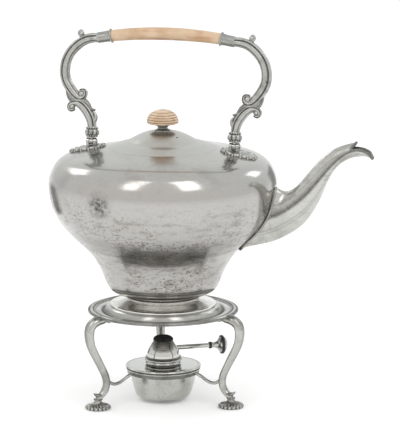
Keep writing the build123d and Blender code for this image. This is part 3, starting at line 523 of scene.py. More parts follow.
def grain_group():
    """Wood grain: long noise along X for the growth lines, and cloudy noise for the browner patches."""
    group, given, out = socket_group(
        "long_grain", [("Vector", "Vector", None), ("Pale", "Color", (0.8, 0.6, 0.4, 1)),
                       ("Dark", "Color", (0.5, 0.3, 0.15, 1)), ("Lines", "Float", 240.0)],
        [("Color", "Color"), ("Roughness", "Float"), ("Height", "Float")])
    vector = given.outputs["Vector"]
    laid = node(group, "Mapping", [("Vector", vector)])
    laid.inputs["Scale"].default_value = (0.05, 1.0, 1.0)
    drawn = laid.outputs["Vector"]
    lines = noise(group, drawn, given.outputs["Lines"], detail=5.0, rough=0.6, distortion=0.3)
    clouds = noise(group, vector, 38.0, detail=3.0, rough=0.55)
    share = math_node(group, "ADD", times(group, ramp(group, lines, 0.42, 0.72), 0.55),
                      ramp(group, clouds, 0.42, 0.66, 0.0, 0.55))
    colour = mix_colours(group, share, given.outputs["Pale"], given.outputs["Dark"])
    group.links.new(colour, out.inputs["Color"])
    group.links.new(ramp(group, lines, 0.3, 0.8, 0.38, 0.5), out.inputs["Roughness"])
    group.links.new(lines, out.inputs["Height"])
    return group


AGED = aged_silver_group()
SCRATCHES = scratches_group()
PITS = pits_group()
PATINA_AND_SHADE = patina_and_shade_group()
SOOT_AND_SHADE = soot_and_shade_group()
GRAIN = grain_group()


# Materials

OXIDE = (0.07, 0.068, 0.06, 1)
PIT_DARK = (0.13, 0.12, 0.10, 1)
# The colour of soot, also used for painted shade.
SOOT_AND_SHADE_DARK = (0.10, 0.095, 0.085, 1)
# In metres
SCRATCH_DEPTH, PIT_DEPTH, GRAIN_DEPTH = 0.00002, 0.00006, 0.00008


def blank_material(name, metallic=0.0):
    """A material with its shader, and object coordinates moved so that the kettle's axis is at zero."""
    material = bpy.data.materials.new(name)
    material.use_nodes = True
    tree = material.node_tree
    shader = tree.nodes["Principled BSDF"]
    shader.inputs["Metallic"].default_value = metallic
    where = node(tree, "TexCoord")
    centred = node(tree, "Mapping", [("Vector", where.outputs["Object"])])
    centred.inputs["Location"].default_value = (-AXIS_X, 0, 0)
    return material, tree, shader, centred.outputs["Vector"]


def use_group(tree, group, links=(), **values):
    """A group placed in a material, with its inputs linked or set by name."""
    made = tree.nodes.new("ShaderNodeGroup")
    made.node_tree = group
    for label, output in links:
        tree.links.new(output, made.inputs[label])
    for key, value in values.items():
        made.inputs[key.replace("_", " ").title()].default_value = value
    return made


def rougher(tree, roughness, mask, amount):
    """Roughness raised by an amount where a mask lies."""
    return math_node(tree, "ADD", roughness, times(tree, mask, amount))


def bumps(tree, shader, heights):
    """Bump nodes in a chain: heights are (socket, depth in metres), and the last one feeds the shader."""
    normal = None
    for height, depth in heights:
        made = node(tree, "Bump", [("Height", height)])
        made.inputs["Strength"].default_value = 1.0
        made.inputs["Distance"].default_value = depth
        if normal:
            tree.links.new(normal, made.inputs["Normal"])
        normal = made.outputs["Normal"]
    tree.links.new(normal, shader.inputs["Normal"])


def silver(name, bright, dull, tarnish, smooth, rough, clouds=14.0, scratched=0.5, wavy=0.0002, patina_and_shade_amount=0.9,
           pitted=None, soot_and_shade=(), smudge=None):
    """Silver plate: the aged sheet, its scratches and dark hollows, with painted shade in some pieces'
    shares, and where given a pitted band, dark bands of soot and of painted shade, and one tarnished smudge."""
    material, tree, shader, vector = blank_material(name, metallic=1.0)
    sheet = use_group(tree, AGED, [("Vector", vector)], bright=bright, dull=dull, cloud_scale=clouds,
                      tarnish=tarnish, smooth=smooth, rough=rough)
    marks = use_group(tree, SCRATCHES, [("Vector", vector)], amount=scratched)
    colour = mix_colours(tree, times(tree, marks.outputs["Mask"], 0.5), sheet.outputs["Color"], dull)
    roughness = rougher(tree, sheet.outputs["Roughness"], marks.outputs["Mask"], 0.12)
    heights = [(sheet.outputs["Height"], wavy), (marks.outputs["Height"], SCRATCH_DEPTH)]
    shape = node(tree, "NewGeometry")
    share = node(tree, "Attribute", attribute_name="patina_and_shade")
    patina_and_shade = use_group(tree, PATINA_AND_SHADE, [("Vector", vector), ("Share", share.outputs["Fac"]),
                                       ("Pointiness", shape.outputs["Pointiness"])], amount=patina_and_shade_amount)
    colour = mix_colours(tree, patina_and_shade.outputs["Mask"], colour, OXIDE)
    roughness = rougher(tree, roughness, patina_and_shade.outputs["Mask"], 0.3)
    if pitted:
        low, high, amount = pitted
        pits = use_group(tree, PITS, [("Vector", vector)], low=low, high=high, amount=amount)
        colour = mix_colours(tree, pits.outputs["Mask"], colour, PIT_DARK)
        roughness = rougher(tree, roughness, pits.outputs["Mask"], 0.25)
        heights.append((pits.outputs["Height"], PIT_DEPTH))
    for low, high, down, up, amount in soot_and_shade:
        band = use_group(tree, SOOT_AND_SHADE, [("Vector", vector)], low=low, high=high, fade_down=down, fade_up=up,
                         amount=amount)
        colour = mix_colours(tree, band.outputs["Mask"], colour, SOOT_AND_SHADE_DARK)
    if smudge:
        centre, radius = smudge
        apart = node(tree, "VectorMath", [(0, vector)], operation="SUBTRACT")
        apart.inputs[1].default_value = centre
        far = node(tree, "VectorMath", [(0, apart.outputs[0])], operation="LENGTH").outputs["Value"]
        spot = ramp(tree, far, 0.15 * radius, radius, 1.0, 0.0)
        speckle = ramp(tree, noise(tree, vector, 260.0, detail=5.0, rough=0.7), 0.34, 0.64, 0.12, 1.0)
        mask = times(tree, spot, speckle)
        colour = mix_colours(tree, mask, colour, OXIDE)
        roughness = rougher(tree, roughness, mask, 0.3)
    tree.links.new(colour, shader.inputs["Base Color"])
    tree.links.new(roughness, shader.inputs["Roughness"])
    bumps(tree, shader, heights)
    return material


# A pitted band is (low, high, amount), a dark band of soot and painted shade (low, high, fade down, fade up,
# amount), in metres.
BRIGHT = (0.46, 0.45, 0.43, 1)
DULL = (0.30, 0.286, 0.266, 1)
# The waist's dark band is painted shade: it darkens the body where it reflects the shaded tray below.
PAINTED_WAIST_SHADE = (0.152, 0.163, 0.003, 0.012, 0.36)
# The band low on the body is painted shade in the narrow gap above the kettle's foot.
PAINTED_BOTTOM_SHADE = (0.103, 0.108, 0.004, 0.005, 0.45)
SMUDGE_AT, SMUDGE_R = (-0.0366, -0.1012, 0.2047), 0.0165
kettle_silver = silver("kettle_silver", BRIGHT, DULL, 0.8, 0.15, 0.34, clouds=18.0, scratched=0.7,
                       pitted=(0.118, 0.192, 0.9), soot_and_shade=(PAINTED_WAIST_SHADE, PAINTED_BOTTOM_SHADE),
                       smudge=(SMUDGE_AT, SMUDGE_R))
spout_silver = silver("spout_silver", (0.54, 0.54, 0.51, 1), (0.30, 0.295, 0.27, 1), 0.85, 0.13, 0.32,
                      clouds=24.0, scratched=0.8, pitted=(0.15, 0.30, 0.4))
lid_silver = silver("lid_silver", (0.52, 0.518, 0.49, 1), DULL, 0.6, 0.32, 0.44, patina_and_shade_amount=0.4)
sooty_silver = silver("sooty_silver", (0.16, 0.15, 0.14, 1), (0.05, 0.05, 0.05, 1), 0.8, 0.4, 0.6)
stand_silver = silver("stand_silver", (0.49, 0.49, 0.465, 1), (0.22, 0.215, 0.20, 1), 0.85, 0.15, 0.34,
                      clouds=40.0)
# Its dark band is painted shade: it darkens the tray's top round the kettle's foot, where the tray reflects
# the kettle's dark underside.
tray_silver = silver("tray_silver", (0.62, 0.615, 0.585, 1), (0.33, 0.325, 0.30, 1), 0.85, 0.18, 0.38,
                     clouds=30.0, patina_and_shade_amount=0.95, soot_and_shade=((0.0888, 0.0912, 0.0006, 0.0012, 0.42),))
# A much lighter silver for the kettle's foot, which stands in the body's shade: painted light that offsets
# its dark reflections.
lightened_foot_silver = silver("lightened_foot_silver", (0.86, 0.85, 0.82, 1), (0.50, 0.49, 0.46, 1), 0.8, 0.16, 0.36,
                     clouds=30.0)
cast_silver = silver("cast_silver", (0.46, 0.46, 0.44, 1), (0.17, 0.165, 0.155, 1), 0.8, 0.2, 0.42,
                     clouds=90.0, wavy=0.0004, patina_and_shade_amount=0.97)
foot_silver = silver("foot_silver", (0.42, 0.415, 0.395, 1), (0.10, 0.095, 0.09, 1), 0.9, 0.22, 0.46,
                     clouds=110.0, scratched=0.3, wavy=0.0003, patina_and_shade_amount=1.0)
burner_silver = silver("burner_silver", (0.56, 0.56, 0.535, 1), (0.31, 0.305, 0.28, 1), 0.5, 0.05, 0.22,
                       clouds=30.0, soot_and_shade=((0.057, 0.08, 0.010, 0.01, 0.6),))
bowl_silver = silver("bowl_silver", (0.56, 0.56, 0.53, 1), (0.31, 0.305, 0.28, 1), 0.8, 0.24, 0.42,
                     clouds=34.0, scratched=0.6, wavy=0.0006)


def grip_wood(name, lines, glossy, pale, streak=0.0):
    """Pale tan, close-grained and waxed, browner in its hollows. A streak darkens the middle underneath."""
    material, tree, shader, vector = blank_material(name)
    grain = use_group(tree, GRAIN, [("Vector", vector)], pale=pale, dark=(0.42, 0.22, 0.10, 1), lines=lines)
    share = node(tree, "Attribute", attribute_name="patina_and_shade")
    colour = mix_colours(tree, share.outputs["Fac"], grain.outputs["Color"], (0.16, 0.085, 0.04, 1))
    if streak:
        split = node(tree, "SeparateXYZ", [("Vector", vector)])
        middle = ramp(tree, math_node(tree, "ABSOLUTE", split.outputs["X"]), 0.004, 0.03, 1.0, 0.0)
        low = ramp(tree, split.outputs["Z"], 0.3445, 0.3475, 1.0, 0.0)
        patchy = ramp(tree, noise(tree, vector, 90.0, detail=4.0, rough=0.6), 0.3, 0.6)
        worn = times(tree, times(tree, times(tree, middle, low), patchy), streak)
        colour = mix_colours(tree, worn, colour, (0.36, 0.19, 0.11, 1))
    tree.links.new(colour, shader.inputs["Base Color"])
    tree.links.new(grain.outputs["Roughness"], shader.inputs["Roughness"])
    shader.inputs["Coat Weight"].default_value = glossy
    shader.inputs["Coat Roughness"].default_value = 0.3
    bumps(tree, shader, [(grain.outputs["Height"], GRAIN_DEPTH)])
    return material


def dull_black(name, colour, rough_low, rough_high, depth, scale):
    """Black stuff whose roughness and small lumps come from one noise."""
    material, tree, shader, vector = blank_material(name)
    lumps = noise(tree, vector, scale, detail=5.0, rough=0.65)
    lighter = tuple(3 * c for c in colour[:3]) + (1,)
    mottled = mix_colours(tree, ramp(tree, lumps, 0.45, 0.7), colour, lighter)
    tree.links.new(mottled, shader.inputs["Base Color"])
    tree.links.new(ramp(tree, lumps, 0.3, 0.7, rough_low, rough_high), shader.inputs["Roughness"])
    bumps(tree, shader, [(lumps, depth)])
    return material


wood = grip_wood("pale_wood", 240.0, 0.25, (0.64, 0.475, 0.32, 1), streak=0.95)
knob_wood = grip_wood("knob_wood", 160.0, 0.15, (0.66, 0.52, 0.37, 1))
ebony = dull_black("black_washers", (0.012, 0.012, 0.013, 1), 0.3, 0.5, 0.00005, 300.0)
char = dull_black("charred_wick", (0.006, 0.006, 0.006, 1), 0.7, 1.0, 0.0012, 900.0)
brass = silver("dull_brass", (0.60, 0.43, 0.20, 1), (0.30, 0.20, 0.09, 1), 0.6, 0.25, 0.45, clouds=60.0)

FINISHES = {"silver": cast_silver, "burner_silver": burner_silver, "pale_wood": wood, "ebony": ebony,
            "charred_wick": char, "brass": brass}
for part in frame["record"]["subparts"]:
    carried = frame["nodes"][part["node"]].data
    carried.materials.clear()
    carried.materials.append(FINISHES[part["material_slot"]])
frame["nodes"]["lid_bezel"].data.materials[0] = lid_silver
frame["nodes"]["kettle_bottom"].data.materials[0] = sooty_silver


# Kettle body, foot and lid

def drill(thing, centre, radius, half, direction):
    """Cuts a round hole through a piece, with a drum that reaches half to each side of its centre."""
    drum = bmesh.new()
    bmesh.ops.create_cone(drum, cap_ends=True, segments=24, radius1=radius * MM, radius2=radius * MM,
                          depth=2 * half * MM)
    turn = Vector((0, 0, 1)).rotation_difference(Vector(direction)).to_matrix().to_4x4()
    drum.transform(Matrix.Translation(Vector(place(centre))) @ turn)
    mesh = bpy.data.meshes.new("drum")
    drum.to_mesh(mesh)
    drum.free()
    cutter = bpy.data.objects.new("drum", mesh)
    bpy.context.scene.collection.objects.link(cutter)
    cut = thing.modifiers.new("cut", "BOOLEAN")
    cut.operation = "DIFFERENCE"
    cut.solver = "EXACT"
    cut.object = cutter
    bpy.context.view_layer.update()
    shown = thing.evaluated_get(bpy.context.evaluated_depsgraph_get())
    result = bpy.data.meshes.new_from_object(shown)
    thing.modifiers.clear()
    thing.data = result
    bpy.data.objects.remove(cutter)


body_sheet = sheet_outline(spline(BODY_LINE, 190), WALL)
piece("kettle_shell", turned(body_sheet, 200), "kettle", kettle_silver, ["kettle_body"], along=True)

foot_outline = np.concatenate([
    rounded([(FOOT_EDGE_R - 3.2, SEAT_Z + 0.1), (FOOT_EDGE_R, SEAT_Z + 0.1), (FOOT_EDGE_R, SEAT_Z + 1.4),
             (FOOT_EDGE_R - 1.8, SEAT_Z + 2.0)], 0.3)[5:15],
    spline([(FOOT_EDGE_R - 1.9, SEAT_Z + 2.1), (FOOT_EDGE_R - 7.0, SEAT_Z + 2.9),
            (STEM_R + 4.2, SEAT_Z + 4.2), (STEM_R + 1.2, SEAT_Z + 6.0), (STEM_R + 0.1, SEAT_Z + 7.4)], 30),
    spline([(STEM_R + 0.1, SEAT_Z + 7.5), (STEM_R + 1.7, SEAT_Z + 8.3), (STEM_R + 0.3, SEAT_Z + 9.3),
            (STEM_R, BODY_LINE[0][1])], 16),
    [(STEM_R - WALL, BODY_LINE[0][1]), (STEM_R - WALL, SEAT_Z + 8.0), (STEM_R + 3.6, SEAT_Z + 3.0),
     (FOOT_EDGE_R - 7.0, SEAT_Z + 1.6), (FOOT_EDGE_R - 3.2, SEAT_Z + 0.1)],
])
ring("foot_of_kettle", foot_outline, "kettle", lightened_foot_silver, ["kettle_foot"], steps=160, oxide=0.35)

lid_sheet = sheet_outline(spline(LID_LINE, 90), WALL)
lid_shell = piece("lid_shell", turned(lid_sheet, 180), "lid", lid_silver, ["lid_cover"], along=True)
vent = math.radians(VENT_AZ)
drill(lid_shell, (VENT_AT * math.cos(vent), VENT_AT * math.sin(vent), 256.0), VENT_R, 14.0, (0, 0, 1))


def knob_outline():
    """A beehive: its radius follows (1 - h^2.2)^0.5 from a short straight foot, and each rib bulges by a
    sine. The second result is the share of brown grime, which is high where that sine is near nought."""
    h = np.linspace(0, 1, 140)
    dome = (KNOB_R - 0.9) * np.sqrt(np.clip(1 - np.clip((h - 0.16) / 0.84, 0, 1) ** 2.2, 0, 1))
    foot = np.clip(h / 0.12, 0, 1) ** 0.5
    bulge = 1.05 * np.abs(np.sin(math.pi * KNOB_RIBS * h)) ** 0.6
    radius = dome * (0.82 + 0.18 * foot) + bulge * (dome > 3)
    line = np.stack([radius, KNOB_Z + h * (KNOB_H - 0.5)], axis=1)
    top = np.stack([np.linspace(line[-1, 0], 0, 8), np.full(8, KNOB_Z + KNOB_H - 0.4)], axis=1)
    grime = np.clip(1 - np.abs(np.sin(math.pi * KNOB_RIBS * h)) / 0.5, 0, 1) ** 1.2 * 0.85
    return np.concatenate([[(0, KNOB_Z)], line, top[1:]]), np.concatenate([[0], grime, np.zeros(7)])


knob_line, knob_grime = knob_outline()
piece("beehive_knob", turned(knob_line, 96), "lid", knob_wood, ["lid_knob"], crease=60,
      patina_and_shade=knob_grime)
knob_foot = [(0, 259.8), (8.6, 259.5), (8.7, 260.3), (7.4, 260.9), (5.4, 261.4), (4.6, 262.4), (4.9, 263.6),
             (6.2, 264.6), (6.9, 265.2), (6.8, 266.2), (0, 266.2)]
ring("knob_moulding", rounded(knob_foot, 0.5), "lid", cast_silver, ["knob_collar"], steps=72, oxide=0.4)

# Spout

SPOUT_ROWS = [
    ((100.0, 209.6), (58.0, 143.0), 9.6), ((111.0, 209.0), (84.5, 152.4), 10.2),
    ((117.8, 206.6), (104.8, 157.8), 10.6), ((124.0, 208.6), (122.0, 166.0), 10.6),
    ((129.6, 213.0), (137.4, 178.2), 10.3), ((134.2, 218.4), (146.8, 191.8), 9.9),
    ((138.7, 223.8), (152.5, 203.0), 9.4), ((143.5, 229.7), (156.8, 213.6), 8.9),
    ((150.5, 237.6), (161.5, 223.2), 8.3), ((158.5, 244.9), (167.5, 232.0), 7.8),
    ((167.5, 250.3), (174.5, 237.6), 7.4), ((177.0, 253.7), (181.5, 240.9), 7.1),
    ((186.4, 255.8), (188.8, 242.3), 6.9), ((197.0, 255.0), (SPOUT_TIP_X - 5.6, 242.4), 6.4),
    ((206.0, 249.0), (SPOUT_TIP_X, 240.4), 4.6),
]
BEAK_BACK = ([249.2, 258.0, 262.0], [180.0, 187.2, 190.5])
BEAK_TOP = ([180.0, 186.0, 192.0, 197.0, SPOUT_TIP_X, 215.0], [249.2, 249.6, 248.6, 246.0, 241.2, 238.0])
CREASE_TURN = 0.12
# Dark bands along the spout, each (sine of the angle round it, share, spread): painted reflections of dark
# things beside it.
SPOUT_REFLECTION_BANDS = [(-0.42, 0.55, 0.035), (-0.55, 0.4, 0.035), (0.56, 0.35, 0.035), (0.27, 0.62, 0.15)]


def spout_surface(grow, sides=96, steps=260):
    """Ovals between the upper and the lower outline: half-width times cos, half-height times sin, with a
    crease along each side. The oval shrinks by grow where that is negative, for the inner wall."""
    upper = spline([row[0] for row in SPOUT_ROWS], steps)
    lower = spline([row[1] for row in SPOUT_ROWS], steps)
    places = np.linspace(0, 1, len(SPOUT_ROWS))
    half = np.interp(np.linspace(0, 1, steps), places, [row[2] for row in SPOUT_ROWS])
    middle, rise = (upper + lower) / 2, (upper - lower) / 2
    height = np.linalg.norm(rise, axis=1)
    rise = rise / height[:, None] * (height + grow)[:, None]
    a = turns(sides)[:, None]
    crease = 1 - 0.17 * np.cos(a - CREASE_TURN) ** 14
    x = middle[:, 0] + rise[:, 0] * np.sin(a)
    y = (half + grow) * np.cos(a) * crease
    z = middle[:, 1] + rise[:, 1] * np.sin(a)
    return np.stack([x, y, z], axis=-1)


def beak_gap(points):
    """How far a point is past the beak's cut: the lesser of how far it is beyond the cut's back line and
    how far it is above its top line."""
    x, z = points[..., 0], points[..., 2]
    return np.minimum(x - np.interp(z, *BEAK_BACK), z - np.interp(x, *BEAK_TOP))


def cut_lengthwise(points, reference, rows=150):
    """Each line of points is sampled anew, from where the reference leaves the body to where it meets
    the beak's cut."""
    steps = points.shape[1]
    gap = beak_gap(reference)
    past = gap > 0
    past[:, :int(0.6 * steps)] = False
    found = np.where(past.any(axis=1), np.argmax(past, axis=1), steps - 1)
    line = np.arange(len(points))
    before, after = gap[line, found - 1], gap[line, found]
    end = found - np.clip(after / np.maximum(after - before, 1e-9), 0, 1)
    outside = np.hypot(reference[..., 0], reference[..., 1]) - np.interp(
        reference[..., 2], *spline(BODY_LINE, 300)[:, ::-1].T)
    start = np.argmax(outside > -1.0, axis=1)
    at = start[:, None] + (end - start)[:, None] * np.linspace(0, 1, rows)
    k = np.clip(at.astype(int), 0, steps - 2)
    part = (at - k)[..., None]
    return points[line[:, None], k] * (1 - part) + points[line[:, None], k + 1] * part


outer = spout_surface(0.0)
outside = cut_lengthwise(outer, outer)
inside = cut_lengthwise(spout_surface(-SPOUT_WALL), outer)
around_spout = turns(len(outside))[:, None]
# Dark oxide in the two creases, then the painted reflections along the spout.
crease_oxide_and_reflections = 0.8 * bell_curve(around_spout - TAU * (around_spout > math.pi) - CREASE_TURN, 0.10)
crease_oxide_and_reflections = crease_oxide_and_reflections + 0.8 * bell_curve(around_spout - math.pi + CREASE_TURN, 0.10)
for height, share, spread in SPOUT_REFLECTION_BANDS:
    crease_oxide_and_reflections = crease_oxide_and_reflections + share * bell_curve(np.sin(around_spout) - height, spread)
piece("swan_spout", np.concatenate([outside, inside[:, ::-1]], axis=1), "kettle", spout_silver, ["spout"],
      along=True, crease=50, patina_and_shade=np.clip(crease_oxide_and_reflections, 0, 1))
beak_rim = outside[:, -1] * 0.5 + inside[:, -1] * 0.5
piece("beak_wire", beads(beak_rim, 1.35, 0, sides=10), "kettle", cast_silver, along=True, patina_and_shade=0.75)
joint_size = 1.1 + 0.7 * np.clip(-np.sin(around_spout[:, 0]), 0, 1) ** 6
piece("spout_joint", beads(outside[:, 3], joint_size, 0, sides=10), "kettle", cast_silver, ["spout_moulding"],
      along=True, patina_and_shade=0.3)

# Stand

BORDER_BEADS = 190
ring_corners = [
    (RIM_R - 4.0, RIM_UNDER), (RIM_R - 4.0, 88.1), (59.6, 88.1), (58.6, 87.4), (57.2, 87.0), (56.0, 88.0),
    (55.0, 90.0), (SEAT_R + 0.2, 91.9), (SEAT_R - 1.2, SEAT_Z), (OPENING_R + 1.5, SEAT_Z),
    (OPENING_R + 1.5, SEAT_Z + 1.2), (OPENING_R, SEAT_Z + 1.2), (OPENING_R, SEAT_Z - 1.5),
    (SEAT_R - 2.0, SEAT_Z - 1.5), (54.2, 85.7), (59.2, 85.7), (60.1, RIM_UNDER),
]
ring("tray", rounded(ring_corners, 0.6), "stand", tray_silver, ["stand_ring"], steps=192)
border_corners = [
    (RIM_R - 4.0, RIM_UNDER), (RIM_R - 1.4, RIM_UNDER - 0.1), (RIM_R - 0.2, RIM_UNDER + 0.9),
    (RIM_R, RIM_TOP - 1.2), (RIM_R - 1.0, RIM_TOP), (RIM_R - 2.6, RIM_TOP), (RIM_R - 3.4, RIM_TOP - 0.6),
    (RIM_R - 5.0, RIM_TOP - 0.5), (RIM_R - 5.6, 88.6), (RIM_R - 5.6, 88.1), (RIM_R - 4.0, 88.1),
]
ring("border", rounded(border_corners, 0.5), "stand", stand_silver, ["rim_border"], steps=220)
bead_row("border_beads", circle(RIM_R + 0.4, RIM_UNDER + 1.1, BORDER_BEADS * 8), 1.35, BORDER_BEADS, "stand",
         foot_silver)
piece("border_thread", turned(rounded([(63.6, 88.0), (64.3, 89.0), (65.0, 88.0)], 0.3), 192), "stand",
      cast_silver, along=True, patina_and_shade=0.45)

LEG_LINE = [
    (KNEE_R - 21.5, RIM_UNDER - 3.9), (KNEE_R - 19.2, RIM_UNDER - 1.7), (KNEE_R - 14.6, RIM_UNDER - 1.4),
    (KNEE_R - 7.6, RIM_UNDER - 2.2), (KNEE_R - 1.6, 80.0), (KNEE_R, 73.0), (KNEE_R - 1.4, 63.0),
    (KNEE_R - 7.6, 49.6), (ANKLE_R + 3.4, 35.6), (ANKLE_R, 24.6), (ANKLE_R + 2.3, 16.2),
    (FOOT_REACH - 1.2, FOOT_Z + 0.4),
]
LEG_DEPTHS = [1.6, 2.6, 3.9, 4.7, 4.7, 4.6, 4.1, 3.8, 3.5, 3.4, 3.3, 2.9]
LEG_WIDTHS = [2.2, 3.2, 4.6, 5.5, 5.5, 5.4, 4.9, 4.4, 4.2, 4.0, 3.9, 3.4]
ARM_LINE = [
    (ANKLE_R - 1.2, 26.2), (ANKLE_R - 4.4, 23.4), (ANKLE_R - 8.2, 21.6), (ANKLE_R - 12.4, 21.7),
    (ANKLE_R - 17.4, 23.6), (RING_R + 4.6, RING_Z + 0.3), (RING_R - 1.6, RING_Z + 2.4),
]
SHELL_RIBS = 18
SHELL_STEPS = SHELL_RIBS * 8
SHELL_RIPPLE = np.cos(SHELL_RIBS * turns(SHELL_STEPS))[:, None]


def shell_foot():
    """A domed shell: a turned outline whose lobes grow from nothing at the stem to the full depth at the
    edge. The same ripple lifts its ribs."""
    line = spline([(3.1, FOOT_Z + 0.3), (3.3, 7.8), (4.6, 5.9), (FOOT_R - 4.4, 4.5), (FOOT_R - 2.2, 3.6)], 26)
    edge = np.array([(FOOT_R - 1.7, 2.8), (FOOT_R - 1.5, 1.6), (FOOT_R - 1.6, 0.7), (FOOT_R - 2.2, 0.1)])
    outline = np.concatenate([[(0, FOOT_Z + 0.3)], line, edge, [(FOOT_R - 2.8, 0.0), (0, 0.0)]])
    growth = np.clip((line[:, 0] - 4.5) / 6.0, 0, 1)
    depth = np.concatenate([[0], 0.75 * growth, [0.8, 0.8, 0.75, 0.6, 0.4, 0]])
    swell = np.concatenate([[0], 0.45 * growth, [0.3, 0.1, 0, 0, 0, 0]])
    points = turned(outline, SHELL_STEPS, lobes=SHELL_RIBS, depth=depth)
    points[..., 2] += swell * SHELL_RIPPLE
    return points


LEAF_LINE = [
    (FOOT_REACH - 6.4, FOOT_Z + 5.6), (FOOT_REACH - 3.6, FOOT_Z + 3.2), (FOOT_REACH + 0.6, FOOT_Z + 2.8),
    (FOOT_REACH + 4.0, FOOT_Z + 5.0),
]
shell_grime = np.concatenate([[0.0], np.linspace(0.5, 1, 26), np.full(4, 0.8), np.zeros(2)])
shell_valleys = np.clip(-SHELL_RIPPLE, 0, 1) * shell_grime
leg = swept(LEG_LINE, LEG_DEPTHS, LEG_WIDTHS, ridge=0.1, steps=140)
# Darker strips along the leg's front and back edges: painted shade standing in for dark reflections.
leg_edge_shade = 0.5 * np.clip((np.abs(np.cos(turns(36))) - 0.8) / 0.2, 0, 1)[:, None]
leaf = swept(LEAF_LINE, [1.2, 2.0, 1.9, 0.7], [2.6, 3.6, 3.4, 0.9], steps=30, sides=20)
wire = swept(ARM_LINE, [1.6, 1.6], [1.6, 1.6], steps=70, sides=20)
ankle_circle = circle(3.7, 9.1, 60) + (FOOT_REACH - 0.2, 0, 0)
shell_circle = circle(FOOT_R - 1.2, 1.75, SHELL_RIBS * 10) + (FOOT_REACH, 0, 0)
for number, azimuth in enumerate(LEG_STARTS, start=1):
    piece(f"cabriole_leg_{number}", moved(leg, turn=azimuth), "stand", stand_silver, [f"leg_{number}"],
          patina_and_shade=leg_edge_shade)
    piece(f"ankle_leaf_{number}", moved(leaf, turn=azimuth), "stand", foot_silver)
    bead_row(f"ankle_beads_{number}", moved(ankle_circle, turn=azimuth), 0.7, 10, "stand", foot_silver,
             sides=6)
    piece(f"shell_foot_{number}", moved(shell_foot(), (FOOT_REACH, 0, 0), azimuth), "stand", foot_silver,
          [f"foot_{number}"], crease=80, patina_and_shade=shell_valleys)
    bead_row(f"shell_beads_{number}", moved(shell_circle, turn=azimuth), 1.7, SHELL_RIBS, "stand",
             cast_silver)
    piece(f"wire_arm_{number}", moved(wire, turn=azimuth), "stand", stand_silver, [f"ring_arm_{number}"])

hoop = [(32.4, RING_Z), (RING_R - 1.2, RING_Z), (RING_R - 1.2, RING_TOP - 1.8), (RING_R, RING_TOP - 1.0),
        (RING_R, RING_TOP), (32.4, RING_TOP)]
hoop_line = rounded(hoop, 0.4)
# The hoop's band below its rolled top is painted darker: painted shade under the roll.
piece("burner_hoop", turned(hoop_line, 128), "stand", stand_silver, ["burner_ring"],
      along=True, patina_and_shade=0.8 * (hoop_line[:, 1] < RING_TOP - 1.7))

# Burner

bowl_line = spline([
    (BOWL_R - 13.4, BOWL_FLOOR), (BOWL_R - 9.0, BOWL_FLOOR + 0.8), (BOWL_R - 5.6, BOWL_FLOOR + 3.6),
    (BOWL_R - 3.9, BOWL_FLOOR + 8.5), (BOWL_R - 2.6, BOWL_FLOOR + 13.0), (BOWL_R - 1.2, BOWL_FLOOR + 19.0),
    (BOWL_R - 0.3, BOWL_FLOOR + 25.0), (BOWL_R, LIP_Z)], 60)
bowl_sheet = sheet_outline(bowl_line, 1.0)
bowl_lip = rounded([(BOWL_R, LIP_Z), (34.9, LIP_Z), (34.9, PLATE_Z), (30.6, PLATE_Z)], 0.3)[5:15]
bowl_outline = np.concatenate([
    [(0, BOWL_FLOOR)], bowl_line, bowl_lip, [(30.6, PLATE_Z)], bowl_sheet[60:], [(0, BOWL_FLOOR + 1.0)]])
# The lip under the cover plate is painted fully dark: painted shade in the groove under the plate.
piece("spirit_bowl", turned(bowl_outline, 128), "burner", bowl_silver, ["burner_bowl"],
      patina_and_shade=np.clip((bowl_outline[:, 1] - LIP_Z + 0.1) / 0.1, 0, 1))
plate = [(12.8, PLATE_Z), (35.8, PLATE_Z), (36.3, PLATE_Z + 0.6), (35.8, PLATE_TOP), (34.6, PLATE_TOP + 0.1),
         (33.8, PLATE_TOP - 0.1), (COLLAR_R, PLATE_TOP + 0.4), (12.8, PLATE_TOP + 0.4)]
ring("bowl_cover", rounded(plate, 0.35), "burner", burner_silver, ["burner_top_plate"])
collar = [(12.8, 34.5), (16.3, 34.5), (15.8, 35.2), (16.9, 35.8), (17.5, 36.6), (17.0, 37.4), (16.6, 38.3),
          (14.2, 38.3), (14.2, 42.1), (12.8, 42.1)]
ring("neck_moulding", rounded(collar, 0.5), "burner", burner_silver, ["burner_collar"],
     steps=96)
head = [(14.26, COLLAR_Z), (17.2, COLLAR_Z), (18.2, COLLAR_Z + 0.9), (18.2, COLLAR_Z + 1.7),
        (17.0, COLLAR_Z + 2.4), (16.4, COLLAR_Z + 2.9), (17.0, COLLAR_Z + 3.4), (16.8, HEAD_Z),
        (14.9, HEAD_Z), (14.9, HEAD_Z + 1.0), (5.8, HEAD_Z + 1.0), (5.8, HEAD_Z), (14.26, HEAD_Z)]
ring("head_moulding", rounded(head, 0.35), "burner_head", burner_silver, ["head_collar"],
     steps=96)
bell_line = spline([
    (BELL_R, HEAD_Z), (BELL_R - 0.3, HEAD_Z + 3.2), (BELL_R - 1.3, HEAD_Z + 6.2),
    (BELL_R - 3.2, HEAD_Z + 9.4), (BELL_R - 5.3, HEAD_Z + 12.5), (BELL_MOUTH_R, BELL_TOP)], 50)
bell_sheet = sheet_outline(bell_line, 0.8)
bell = piece("bell", turned(bell_sheet, 112), "burner_head", burner_silver, ["burner_cone"],
             along=True, patina_and_shade=np.clip((bell_sheet[:, 1] - 51.0) / 5.5, 0, 1))
ALONG = (math.cos(math.radians(REG_AZ)), math.sin(math.radians(REG_AZ)), 0)
SPINDLE = (-ALONG[1] * REG_OFF, ALONG[0] * REG_OFF, REG_Z)
drill(bell, [start + 12.0 * step for start, step in zip(SPINDLE, ALONG)], 3.25, 6.0, ALONG)
WICK_STEPS = 90


